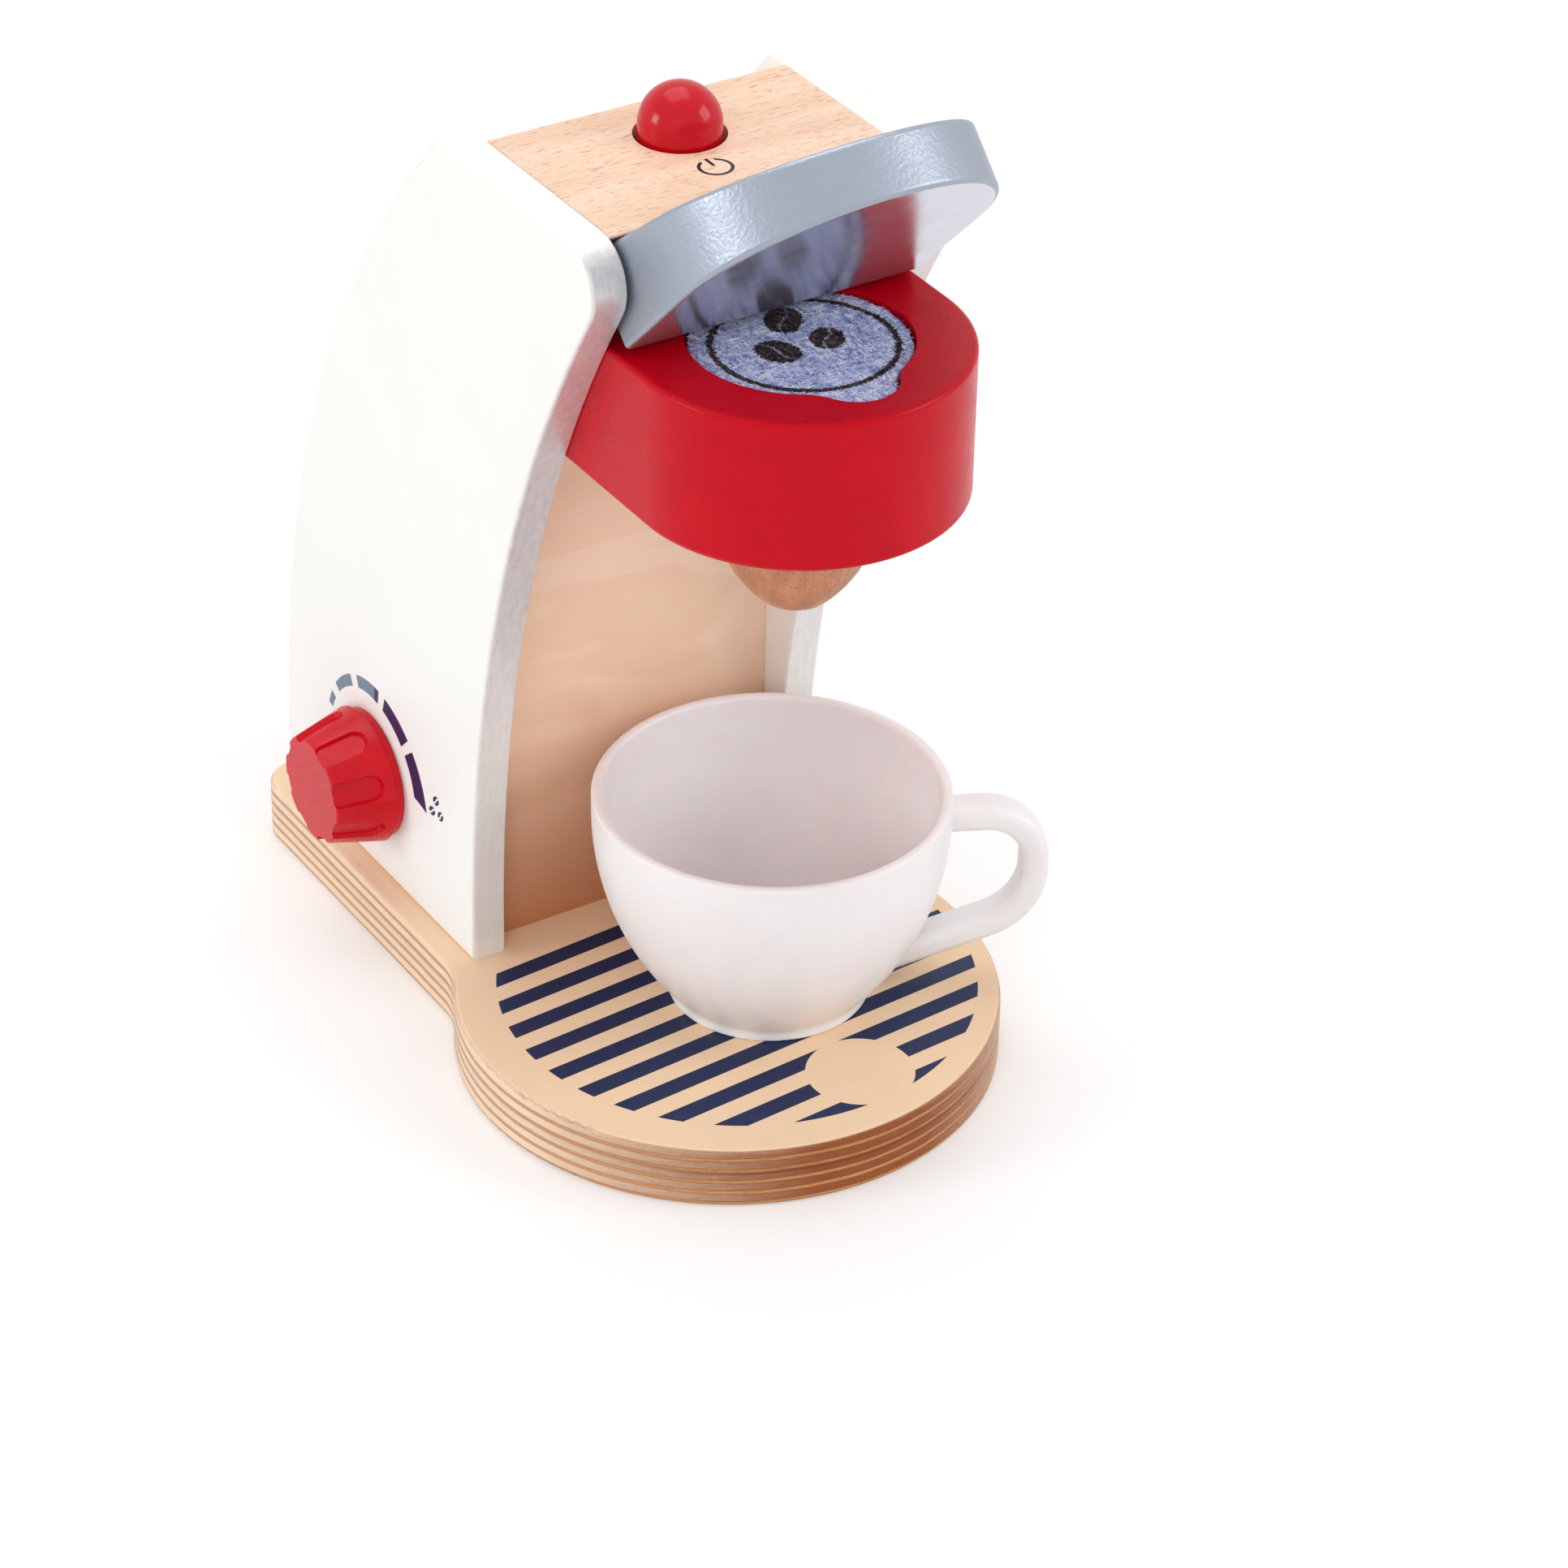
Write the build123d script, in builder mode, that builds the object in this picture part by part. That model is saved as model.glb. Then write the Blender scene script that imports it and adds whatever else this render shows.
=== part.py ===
from build123d import *
import math
import os

# Toy coffee maker in painted wood and plywood: two side panels on a base board
# with a round cup stand, a brew head between them with a felt coffee pad and a
# hinged lid, a push button, a dial and a plastic cup.
#
# Millimetres. +Z is up, the front faces -Y and the dial is on the -X side.
# The origin is under the middle of the round cup stand, on the underside.

os.makedirs("parts", exist_ok=True)

# ---------------------------------------------------------------- dimensions
# Base board
BASE_THICKNESS = 15.0
STAND_RADIUS = 62.0
BASE_WIDTH = 101.0
BASE_REAR_MARGIN = 6.0
BASE_CORNER_RADIUS = 9.0
BASE_NECK_RADIUS = 18.0
BASE_EDGE_ROUND = 1.2

# Body: the outline of the side panels in Y and Z
INNER_GAP = 72.8
PANEL_THICKNESS = 8.6
BODY_TOP_Z = 218.0
PANEL_FRONT_Y = 37.5
PANEL_FRONT_BEND_Z = 22.0
PANEL_FRONT_RADIUS = 338.0
PANEL_REAR_Y = 127.0
PANEL_REAR_BEND_Z = 23.5
PANEL_REAR_RADIUS = 276.0
PANEL_NOSE_RADIUS = 10.0
PANEL_OUTER_ROUND = 1.2
PANEL_INNER_ROUND = 0.5

# Boards between the panels, held in grooves
FRONT_BOARD_Y = 43.5
FRONT_BOARD_THICKNESS = 5.0
BACK_BOARD_THICKNESS = 3.0
BACK_INSET = 4.6
GROOVE_DEPTH = 2.5
GROOVE_CLEARANCE = 0.1

# Brew head
HEAD_BOTTOM_Z = 158.0
HEAD_HEIGHT = 34.0
HEAD_CENTER_Y = -24.0
HEAD_EDGE_ROUND = 1.2

# Felt coffee pad and its recess in the head
PAD_RADIUS = 23.1
PAD_THICKNESS = 3.0
PAD_TAB_RADIUS = 8.6
PAD_TAB_REACH = 29.0
PAD_NECK_ROUND = 12.6
PAD_CLEARANCE = 0.6
RECESS_DEPTH = 4.0

# Nozzle, turned in one piece with its tenon
NOZZLE_LENGTH = 26.6
NOZZLE_TOP_RADIUS = 18.0
NOZZLE_MIDDLE_RADIUS = 14.7
NOZZLE_MIDDLE_DROP = 17.0
NOZZLE_TIP_RADIUS = 7.4
NOZZLE_TIP_ROUND = 0.8
NOZZLE_TENON_RADIUS = 7.0
NOZZLE_TENON_LENGTH = 15.0

# Lid and its hinge
HINGE_Y = -6.5
LID_PIVOT_HEIGHT = 15.6
LID_CLOSED_GAP = 0.9
LID_OPEN_ANGLE = 45.0
LID_STOP_ANGLE = 2.0
LID_STOP_GAP = 0.4
LID_SIDE_GAP = 0.8
LID_LENGTH = 66.5
LID_REAR_REACH = 5.2
LID_REAR_THICKNESS = 21.0
LID_FRONT_THICKNESS = 12.9
LID_REAR_TOP_ROUND = 4.8
LID_REAR_BOTTOM_ROUND = 1.0
LID_EDGE_ROUND = 1.2
LID_SWING_GAP = 0.8
BLOCK_LIP_ROUND = 0.4
HINGE_PIN_RADIUS = 2.0
HINGE_PIN_IN_PANEL = 6.0
HINGE_PIN_IN_LID = 12.0
HINGE_WASHER_RADIUS = 4.0
HINGE_WASHER_THICKNESS = 0.6
HINGE_BORE_SPARE = 0.5
HINGE_PIN_CHAMFER = 0.4

# Push button and its spring, in a stepped bore in the top block
BUTTON_Y = 23.6
BUTTON_RADIUS = 9.0
BUTTON_HOLE_RADIUS = 10.0
BUTTON_RISE = 11.4
BUTTON_COLLAR_DEPTH = 10.0
BUTTON_FLANGE_RADIUS = 11.6
BUTTON_FLANGE_THICKNESS = 2.5
BUTTON_FLANGE_CLEARANCE = 0.4
BUTTON_REST_GAP = 0.1
BUTTON_TRAVEL = 4.0
SPRING_POCKET_RADIUS = 7.2
SPRING_POCKET_DEPTH = 7.0
SPRING_COIL_RADIUS = 5.6
SPRING_WIRE_RADIUS = 0.6
SPRING_WIRE_SIDE_COUNT = 8
SPRING_TURNS = 5.0

# Dial on the left panel
DIAL_Y = 83.5
DIAL_Z = 40.9
DIAL_FLANGE_RADIUS = 15.4
DIAL_BASE_RADIUS = 16.3
DIAL_FACE_RADIUS = 12.8
DIAL_HEIGHT = 15.8
DIAL_BODY_HEIGHT = 13.6
DIAL_EDGE_ROUND = 0.8
DIAL_GRIPS = 8
DIAL_GRIP_LENGTH = 12.2
DIAL_GRIP_WIDTH = 5.2
DIAL_GRIP_DEPTH = 1.3
DIAL_GRIP_FLARE = 25.0
DIAL_GRIP_RISE = 8.8
DIAL_GRIP_TURN = 21.0
DIAL_GAP = 0.3
DIAL_AXLE_RADIUS = 4.0
DIAL_SCREW_RADIUS = 1.5
DIAL_SCREW_LENGTH = 14.0
DIAL_SCREW_HEAD_RADIUS = 3.4
DIAL_SCREW_HEAD_HEIGHT = 2.0
DIAL_SCREW_HEAD_ROUND = 0.8
DIAL_WASHER_RADIUS = 8.0
DIAL_WASHER_THICKNESS = 1.0
DIAL_RING_THICKNESS = 0.8
DIAL_RING_CLEARANCE = 0.1

# Dowels through the panels into the head and the top block
DOWEL_RADIUS = 3.0
DOWEL_IN_PANEL = 6.0
DOWEL_IN_BLOCK = 12.0
DOWEL_CHAMFER = 0.5
HEAD_DOWEL_YS = (12.0, 32.0)
BLOCK_DOWEL_YS = (16.0, 44.0)

# Screws up through the base into the panels
SCREW_RADIUS = 1.75
SCREW_HEAD_RADIUS = 3.2
SCREW_LENGTH = 35.0
SCREW_POINT = 1.4
SCREW_SINK = 0.5
SCREW_SLOT_LENGTH = 3.2
SCREW_SLOT_WIDTH = 0.8
SCREW_SLOT_DEPTH = 1.0
SCREW_FRONT_INSET = 18.5
SCREW_REAR_INSET = 19.0

# Fits
RUNNING_CLEARANCE = 0.05
PRESS_CLEARANCE = 0.02

# Cup
CUP_X = 8.5
CUP_Y = -4.0
CUP_HEIGHT = 52.8
CUP_RIM_RADIUS = 40.1
CUP_SHOULDER_HEIGHT = 47.7
CUP_CURVE_RADIUS = 67.4
CUP_WALL = 2.4
CUP_FLOOR = 3.0
CUP_FOOT_HEIGHT = 2.4
CUP_FOOT_FLARE = 0.4
CUP_FOOT_ROUND = 0.6
CUP_WAIST_ROUND = 2.0
CUP_FOOT_RING = 2.5
CUP_FOOT_RECESS = 0.8
CUP_LIP_ROUND = 1.1
CUP_HANDLE_ANGLE = -25.0
CUP_HANDLE_REACH = 19.4
CUP_HANDLE_TOP_HEIGHT = 43.4
CUP_HANDLE_CORNER_HEIGHT = 17.9
CUP_HANDLE_FOOT_HEIGHT = 4.4
CUP_HANDLE_UPPER_BEND = 11.9
CUP_HANDLE_LOWER_BEND = 15.0
CUP_HANDLE_WIDTH = 9.0
CUP_HANDLE_THICKNESS = 6.2
CUP_HANDLE_ROUND = 2.4

# ------------------------------------------------------------ derived places
HALF_GAP = INNER_GAP / 2
PANEL_OUTER_X = HALF_GAP + PANEL_THICKNESS
HEAD_TOP_Z = HEAD_BOTTOM_Z + HEAD_HEIGHT
HINGE_Z = HEAD_TOP_Z + LID_CLOSED_GAP + LID_PIVOT_HEIGHT
LID_RADIUS = HALF_GAP - LID_SIDE_GAP
PANEL_MIDDLE_X = HALF_GAP + PANEL_THICKNESS / 2
BASE_REAR_Y = PANEL_REAR_Y + BASE_REAR_MARGIN
SCREW_YS = (PANEL_FRONT_Y + SCREW_FRONT_INSET, PANEL_REAR_Y - SCREW_REAR_INSET)


def arc_drop(radius: float, rise: float) -> float:
    """Sideways drop, at this rise, of an arc that starts out upright."""
    return radius - math.sqrt(radius**2 - rise**2)


def back_curve_y(z: float, inset: float) -> float:
    """Y of the body's back curve at a height, moved inwards by the inset."""
    rise = max(z - PANEL_REAR_BEND_Z, 0.0)
    return PANEL_REAR_Y - inset - arc_drop(PANEL_REAR_RADIUS - inset, rise)


def body_outline(inset: float) -> Sketch:
    """Side view of the body, in Y and Z, with its back moved in by the inset."""
    nose_y = PANEL_FRONT_Y - arc_drop(PANEL_FRONT_RADIUS, BODY_TOP_Z - PANEL_FRONT_BEND_Z)
    front_bend = (PANEL_FRONT_Y, PANEL_FRONT_BEND_Z)
    nose = (nose_y, BODY_TOP_Z)
    rear_bend = (PANEL_REAR_Y - inset, PANEL_REAR_BEND_Z)
    rear_top = (back_curve_y(BODY_TOP_Z, inset), BODY_TOP_Z)
    with BuildSketch() as outline:
        with BuildLine():
            Line((PANEL_FRONT_Y, BASE_THICKNESS), front_bend)
            TangentArc(front_bend, nose, tangent=(0, 1))
            Line(nose, rear_top)
            TangentArc(rear_bend, rear_top, tangent=(0, 1))
            Line(rear_bend, (PANEL_REAR_Y - inset, BASE_THICKNESS))
            Line((PANEL_REAR_Y - inset, BASE_THICKNESS), (PANEL_FRONT_Y, BASE_THICKNESS))
        make_face()
        fillet(outline.vertices().sort_by(Axis.X)[0], PANEL_NOSE_RADIUS)
    return outline.sketch


def front_board_outline(clearance: float) -> Sketch:
    """Side view of the upright front board, grown by the clearance."""
    with BuildSketch() as outline:
        with Locations((FRONT_BOARD_Y - clearance, BASE_THICKNESS)):
            Rectangle(FRONT_BOARD_THICKNESS + 2 * clearance, HEAD_TOP_Z - BASE_THICKNESS,
                      align=(Align.MIN, Align.MIN))
    return outline.sketch


def back_board_outline(clearance: float) -> Sketch:
    """Side view of the bent back board, grown by the clearance."""
    outer = BACK_INSET - clearance
    inner = BACK_INSET + BACK_BOARD_THICKNESS + clearance
    ends = [(PANEL_REAR_Y - inset, PANEL_REAR_BEND_Z) for inset in (outer, inner)]
    tops = [(back_curve_y(HEAD_TOP_Z, inset), HEAD_TOP_Z) for inset in (outer, inner)]
    feet = [(PANEL_REAR_Y - inset, BASE_THICKNESS) for inset in (outer, inner)]
    with BuildSketch() as outline:
        with BuildLine():
            Polyline(ends[0], feet[0], feet[1], ends[1])
            TangentArc(ends[1], tops[1], tangent=(0, 1))
            Line(tops[1], tops[0])
            TangentArc(ends[0], tops[0], tangent=(0, 1))
        make_face()
    return outline.sketch


def pad_outline(clearance: float) -> Sketch:
    """Plan view of the coffee pad with its finger tab, grown by the clearance."""
    with BuildSketch() as outline:
        with Locations((0, HEAD_CENTER_Y)):
            Circle(PAD_RADIUS + clearance)
        with Locations((0, HEAD_CENTER_Y - PAD_TAB_REACH + PAD_TAB_RADIUS)):
            Circle(PAD_TAB_RADIUS + clearance)
        split(bisect_by=Plane.YZ)
        fillet(outline.vertices().sort_by(Axis.Y)[1], PAD_NECK_ROUND - clearance)
        mirror(about=Plane.YZ)
    return outline.sketch


def at_x(x: float) -> Plane:
    """Plane across the body at this X, with its own axes along Y and Z."""
    return Plane.YZ.offset(x)


def upright(x: float, y: float, turn: float) -> Plane:
    """Upright plane on a vertical axis, its own X turned this far from +X."""
    along = Vector(1, 0, 0).rotate(Axis.Z, turn)
    return Plane(origin=(x, y, 0), x_dir=along, z_dir=along.cross(Vector(0, 0, 1)))


def grip_plane(turn: float) -> Plane:
    """Plane on the floor of one finger grip, facing out of the dial's side."""
    narrowing = DIAL_BASE_RADIUS - DIAL_FACE_RADIUS
    lean = math.atan2(narrowing, DIAL_BODY_HEIGHT)
    out = dial_plane.x_dir.rotate(Axis(dial_plane.origin, dial_plane.z_dir), turn)
    facing = out * math.cos(lean) + dial_plane.z_dir * math.sin(lean)
    rising = dial_plane.z_dir * math.cos(lean) - out * math.sin(lean)
    radius = DIAL_BASE_RADIUS - narrowing * DIAL_GRIP_RISE / DIAL_BODY_HEIGHT
    height = DIAL_HEIGHT - DIAL_BODY_HEIGHT + DIAL_GRIP_RISE
    middle = dial_plane.origin + dial_plane.z_dir * height + out * radius
    return Plane(origin=middle - facing * DIAL_GRIP_DEPTH, x_dir=rising, z_dir=facing)


def save(builder: BuildPart, name: str) -> None:
    """Labels a finished piece and writes it to its own file."""
    builder.part.label = name
    export_step(builder.part, f"parts/{name}.step")


# ---------------------------------------------------------------- base board
screw_spots = [(side * PANEL_MIDDLE_X, y) for side in (-1, 1) for y in SCREW_YS]
upwards = (Align.CENTER, Align.CENTER, Align.MIN)

with BuildPart() as base_board:
    with BuildSketch() as base_plan:
        Circle(STAND_RADIUS)
        Rectangle(BASE_WIDTH, BASE_REAR_Y, align=(Align.CENTER, Align.MIN))
        necks = base_plan.vertices().filter_by(lambda corner: 0 < corner.Y < STAND_RADIUS)
        fillet(necks, BASE_NECK_RADIUS)
        fillet(base_plan.vertices().group_by(Axis.Y)[-1], BASE_CORNER_RADIUS)
    extrude(amount=BASE_THICKNESS)
    fillet(base_board.edges().group_by(Axis.Z)[0], BASE_EDGE_ROUND)
    fillet(base_board.edges().group_by(Axis.Z)[-1], BASE_EDGE_ROUND)
    with Locations(*[Plane(origin=(x, y, 0), z_dir=(0, 0, -1)) for x, y in screw_spots]):
        CounterSinkHole(SCREW_RADIUS + PRESS_CLEARANCE, SCREW_HEAD_RADIUS + SCREW_SINK,
                        depth=BASE_THICKNESS, counter_sink_angle=90)
save(base_board, "base_board")

with BuildPart() as base_screws:
    with BuildSketch(Plane.XY.offset(SCREW_SINK)):
        with Locations(*screw_spots):
            Circle(SCREW_RADIUS)
    extrude(amount=SCREW_LENGTH)
    chamfer(base_screws.edges().group_by(Axis.Z)[-1], SCREW_POINT)
    with Locations(*[(x, y, SCREW_SINK) for x, y in screw_spots]):
        Cone(SCREW_HEAD_RADIUS, SCREW_RADIUS, SCREW_HEAD_RADIUS - SCREW_RADIUS, align=upwards)
        Box(SCREW_SLOT_LENGTH, SCREW_SLOT_WIDTH, SCREW_SLOT_DEPTH, align=upwards,
            mode=Mode.SUBTRACT)
        Box(SCREW_SLOT_WIDTH, SCREW_SLOT_LENGTH, SCREW_SLOT_DEPTH, align=upwards,
            mode=Mode.SUBTRACT)
save(base_screws, "base_screws")

# --------------------------------------------------------------- side panels
head_dowel_spots = [(y, (HEAD_BOTTOM_Z + HEAD_TOP_Z) / 2) for y in HEAD_DOWEL_YS]
block_dowel_spots = [(y, (HEAD_TOP_Z + BODY_TOP_Z) / 2) for y in BLOCK_DOWEL_YS]

for side, name in ((-1, "left_side_panel"), (1, "right_side_panel")):
    inner_plane = at_x(side * HALF_GAP)
    outer, inner = (0, -1) if side < 0 else (-1, 0)
    with BuildPart() as side_panel:
        with BuildSketch(inner_plane):
            add(body_outline(0))
        extrude(amount=side * PANEL_THICKNESS)
        for group, radius in ((outer, PANEL_OUTER_ROUND), (inner, PANEL_INNER_ROUND)):
            fillet(side_panel.edges().group_by(Axis.X)[group], radius)
        with BuildSketch(inner_plane):
            add(front_board_outline(GROOVE_CLEARANCE))
            add(back_board_outline(GROOVE_CLEARANCE))
        extrude(amount=side * GROOVE_DEPTH, mode=Mode.SUBTRACT)
        with BuildSketch(inner_plane):
            with Locations(*head_dowel_spots, *block_dowel_spots):
                Circle(DOWEL_RADIUS + PRESS_CLEARANCE)
        extrude(amount=side * DOWEL_IN_PANEL, mode=Mode.SUBTRACT)
        with BuildSketch(inner_plane):
            with Locations((HINGE_Y, HINGE_Z)):
                Circle(HINGE_PIN_RADIUS + PRESS_CLEARANCE)
        extrude(amount=side * HINGE_PIN_IN_PANEL, mode=Mode.SUBTRACT)
        with BuildSketch(Plane.XY.offset(BASE_THICKNESS)):
            with Locations(*[(side * PANEL_MIDDLE_X, y) for y in SCREW_YS]):
                Circle(SCREW_RADIUS + PRESS_CLEARANCE)
        extrude(amount=SCREW_SINK + SCREW_LENGTH - BASE_THICKNESS, mode=Mode.SUBTRACT)
        if side < 0:
            with BuildSketch(inner_plane):
                with Locations((DIAL_Y, DIAL_Z)):
                    Circle(DIAL_AXLE_RADIUS + RUNNING_CLEARANCE)
            extrude(amount=side * PANEL_THICKNESS, mode=Mode.SUBTRACT)
    save(side_panel, name)

# ------------------------------------------------------ boards in the grooves
board_half_width = HALF_GAP + GROOVE_DEPTH - GROOVE_CLEARANCE

with BuildPart() as front_board:
    with BuildSketch(at_x(-board_half_width)):
        add(front_board_outline(0))
    extrude(amount=2 * board_half_width)
save(front_board, "front_board")

with BuildPart() as back_board:
    with BuildSketch(at_x(-board_half_width)):
        add(back_board_outline(0))
    extrude(amount=2 * board_half_width)
save(back_board, "back_board")

# ----------------------------------------------------------------- top block
# Its front is the panels' nose, hollowed round the lid's hinge. The face under
# the lip is where the top of the lid comes to rest when the lid stands open.
lid_slope = math.atan2(LID_REAR_THICKNESS - LID_FRONT_THICKNESS, LID_LENGTH)
lid_top_offset = ((LID_REAR_THICKNESS - LID_PIVOT_HEIGHT) * math.cos(lid_slope)
                  - LID_REAR_REACH * math.sin(lid_slope))
stop_turn = math.degrees(lid_slope) - LID_OPEN_ANGLE - LID_STOP_ANGLE
cove_radius = LID_REAR_REACH + LID_SWING_GAP

with BuildPart() as top_block:
    with BuildSketch(at_x(-HALF_GAP)) as block_side:
        add(body_outline(BACK_INSET))
        with Locations((0, HEAD_TOP_Z)):
            Rectangle(2 * BASE_REAR_Y, BODY_TOP_Z - HEAD_TOP_Z,
                      align=(Align.CENTER, Align.MIN), mode=Mode.INTERSECT)
        with Locations((HINGE_Y, HINGE_Z)):
            Circle(cove_radius, mode=Mode.SUBTRACT)
        with Locations((HINGE_Y + cove_radius, HINGE_Z)):
            Rectangle(LID_LENGTH, HINGE_Z - HEAD_TOP_Z, align=(Align.MAX, Align.MAX),
                      mode=Mode.SUBTRACT)
        with Locations(Location((HINGE_Y, HINGE_Z, 0), (0, 0, stop_turn))):
            with Locations((0, lid_top_offset + LID_STOP_GAP)):
                Rectangle(LID_LENGTH, LID_LENGTH, align=(Align.MAX, Align.MAX),
                          mode=Mode.SUBTRACT)
        fillet(block_side.vertices().sort_by(Axis.X)[0], BLOCK_LIP_ROUND)
    extrude(amount=INNER_GAP)
    with Locations(Plane(origin=(0, BUTTON_Y, HEAD_TOP_Z), z_dir=(0, 0, -1))):
        CounterBoreHole(BUTTON_HOLE_RADIUS, BUTTON_FLANGE_RADIUS + BUTTON_FLANGE_CLEARANCE,
                        BODY_TOP_Z - BUTTON_COLLAR_DEPTH - HEAD_TOP_Z,
                        depth=BODY_TOP_Z - HEAD_TOP_Z)
    for side in (-1, 1):
        with BuildSketch(at_x(side * HALF_GAP)):
            with Locations(*block_dowel_spots):
                Circle(DOWEL_RADIUS + PRESS_CLEARANCE)
        extrude(amount=-side * DOWEL_IN_BLOCK, mode=Mode.SUBTRACT)
save(top_block, "top_block")

# ------------------------------------------------- brew head, pad and nozzle
with BuildPart() as brew_head:
    with BuildSketch(Plane.XY.offset(HEAD_BOTTOM_Z)):
        with Locations((0, HEAD_CENTER_Y)):
            Circle(HALF_GAP)
            Rectangle(INNER_GAP, FRONT_BOARD_Y - HEAD_CENTER_Y,
                      align=(Align.CENTER, Align.MIN))
    extrude(amount=HEAD_HEIGHT)
    for group in (0, -1):
        rim = brew_head.edges().group_by(Axis.Z)[group]
        fillet(rim.sort_by(Axis.Y)[:-1], HEAD_EDGE_ROUND)
    with BuildSketch(Plane.XY.offset(HEAD_TOP_Z)):
        add(pad_outline(PAD_CLEARANCE))
    extrude(amount=-RECESS_DEPTH, mode=Mode.SUBTRACT)
    with BuildSketch(Plane.XY.offset(HEAD_BOTTOM_Z)):
        with Locations((0, HEAD_CENTER_Y)):
            Circle(NOZZLE_TENON_RADIUS + PRESS_CLEARANCE)
    extrude(amount=NOZZLE_TENON_LENGTH, mode=Mode.SUBTRACT)
    for side in (-1, 1):
        with BuildSketch(at_x(side * HALF_GAP)):
            with Locations(*head_dowel_spots):
                Circle(DOWEL_RADIUS + PRESS_CLEARANCE)
        extrude(amount=-side * DOWEL_IN_BLOCK, mode=Mode.SUBTRACT)
save(brew_head, "brew_head")

with BuildPart() as coffee_pad:
    with BuildSketch(Plane.XY.offset(HEAD_TOP_Z - RECESS_DEPTH)):
        add(pad_outline(0))
    extrude(amount=PAD_THICKNESS)
save(coffee_pad, "coffee_pad")

nozzle_tip_z = HEAD_BOTTOM_Z - NOZZLE_LENGTH
tenon_top_z = HEAD_BOTTOM_Z + NOZZLE_TENON_LENGTH

with BuildPart() as nozzle:
    with BuildSketch(upright(0, HEAD_CENTER_Y, 0)):
        with BuildLine():
            Polyline((NOZZLE_TOP_RADIUS, HEAD_BOTTOM_Z), (NOZZLE_TENON_RADIUS, HEAD_BOTTOM_Z),
                     (NOZZLE_TENON_RADIUS, tenon_top_z), (0, tenon_top_z),
                     (0, nozzle_tip_z), (NOZZLE_TIP_RADIUS, nozzle_tip_z))
            ThreePointArc((NOZZLE_TIP_RADIUS, nozzle_tip_z),
                          (NOZZLE_MIDDLE_RADIUS, HEAD_BOTTOM_Z - NOZZLE_MIDDLE_DROP),
                          (NOZZLE_TOP_RADIUS, HEAD_BOTTOM_Z))
        make_face()
    revolve(axis=Axis((0, HEAD_CENTER_Y, 0), (0, 0, 1)))
    fillet(nozzle.edges().group_by(Axis.Z)[0], NOZZLE_TIP_ROUND)
save(nozzle, "nozzle")

with BuildPart() as frame_dowels:
    for side in (-1, 1):
        with BuildSketch(at_x(side * (HALF_GAP + DOWEL_IN_PANEL))):
            with Locations(*head_dowel_spots, *block_dowel_spots):
                Circle(DOWEL_RADIUS)
        extrude(amount=-side * (DOWEL_IN_PANEL + DOWEL_IN_BLOCK))
    chamfer(frame_dowels.edges().filter_by(GeomType.CIRCLE), DOWEL_CHAMFER)
save(frame_dowels, "frame_dowels")

# ------------------------------------------------------------- lid and hinge
# The lid is drawn about its hinge axis as it lies when shut, on planes tilted to
# the angle at which it stands open: its side view and its plan, both as solids,
# and what they share is the lid.
tilt = math.radians(LID_OPEN_ANGLE)
lid_plane = Plane(origin=(0, HINGE_Y, HINGE_Z), x_dir=(1, 0, 0),
                  z_dir=(0, math.sin(tilt), math.cos(tilt)))
lid_side_plane = Plane(origin=lid_plane.origin, x_dir=lid_plane.y_dir, z_dir=(1, 0, 0))
lid_front_y = LID_REAR_REACH - LID_LENGTH

with BuildPart() as lid:
    with BuildSketch(lid_side_plane) as lid_side:
        with BuildLine():
            Polyline((LID_REAR_REACH, -LID_PIVOT_HEIGHT), (lid_front_y, -LID_PIVOT_HEIGHT),
                     (lid_front_y, LID_FRONT_THICKNESS - LID_PIVOT_HEIGHT),
                     (LID_REAR_REACH, LID_REAR_THICKNESS - LID_PIVOT_HEIGHT), close=True)
        make_face()
        for corner, radius in ((-1, LID_REAR_TOP_ROUND), (0, LID_REAR_BOTTOM_ROUND)):
            rear = lid_side.vertices().group_by(Axis.X)[-1]
            fillet(rear.sort_by(Axis.Y)[corner], radius)
    extrude(amount=LID_RADIUS, both=True)
    with BuildSketch(lid_plane.offset(-LID_PIVOT_HEIGHT)):
        with Locations((0, lid_front_y + LID_RADIUS)):
            Circle(LID_RADIUS)
            Rectangle(2 * LID_RADIUS, LID_LENGTH - LID_RADIUS,
                      align=(Align.CENTER, Align.MIN))
    extrude(amount=LID_REAR_THICKNESS, mode=Mode.INTERSECT)
    across = lid.edges().filter_by(Axis.X)
    upright_edges = lid.edges().filter_by(Axis(lid_plane.origin, lid_plane.z_dir))
    wall_seams = upright_edges.sort_by(Axis(lid_plane.origin, lid_plane.y_dir))[:2]
    fillet(lid.edges() - across - wall_seams, LID_EDGE_ROUND)
    for side in (-1, 1):
        with BuildSketch(at_x(side * LID_RADIUS)):
            with Locations((HINGE_Y, HINGE_Z)):
                Circle(HINGE_PIN_RADIUS + RUNNING_CLEARANCE)
        extrude(amount=-side * (HINGE_PIN_IN_LID + HINGE_BORE_SPARE), mode=Mode.SUBTRACT)
save(lid, "lid")

hinge_pin_length = HINGE_PIN_IN_PANEL + LID_SIDE_GAP + HINGE_PIN_IN_LID

for side, name in ((-1, "left_hinge_pin"), (1, "right_hinge_pin")):
    with BuildPart() as hinge_pin:
        with BuildSketch(at_x(side * (HALF_GAP + HINGE_PIN_IN_PANEL))):
            with Locations((HINGE_Y, HINGE_Z)):
                Circle(HINGE_PIN_RADIUS)
        extrude(amount=-side * hinge_pin_length)
        chamfer(hinge_pin.edges().filter_by(GeomType.CIRCLE), HINGE_PIN_CHAMFER)
    save(hinge_pin, name)

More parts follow.
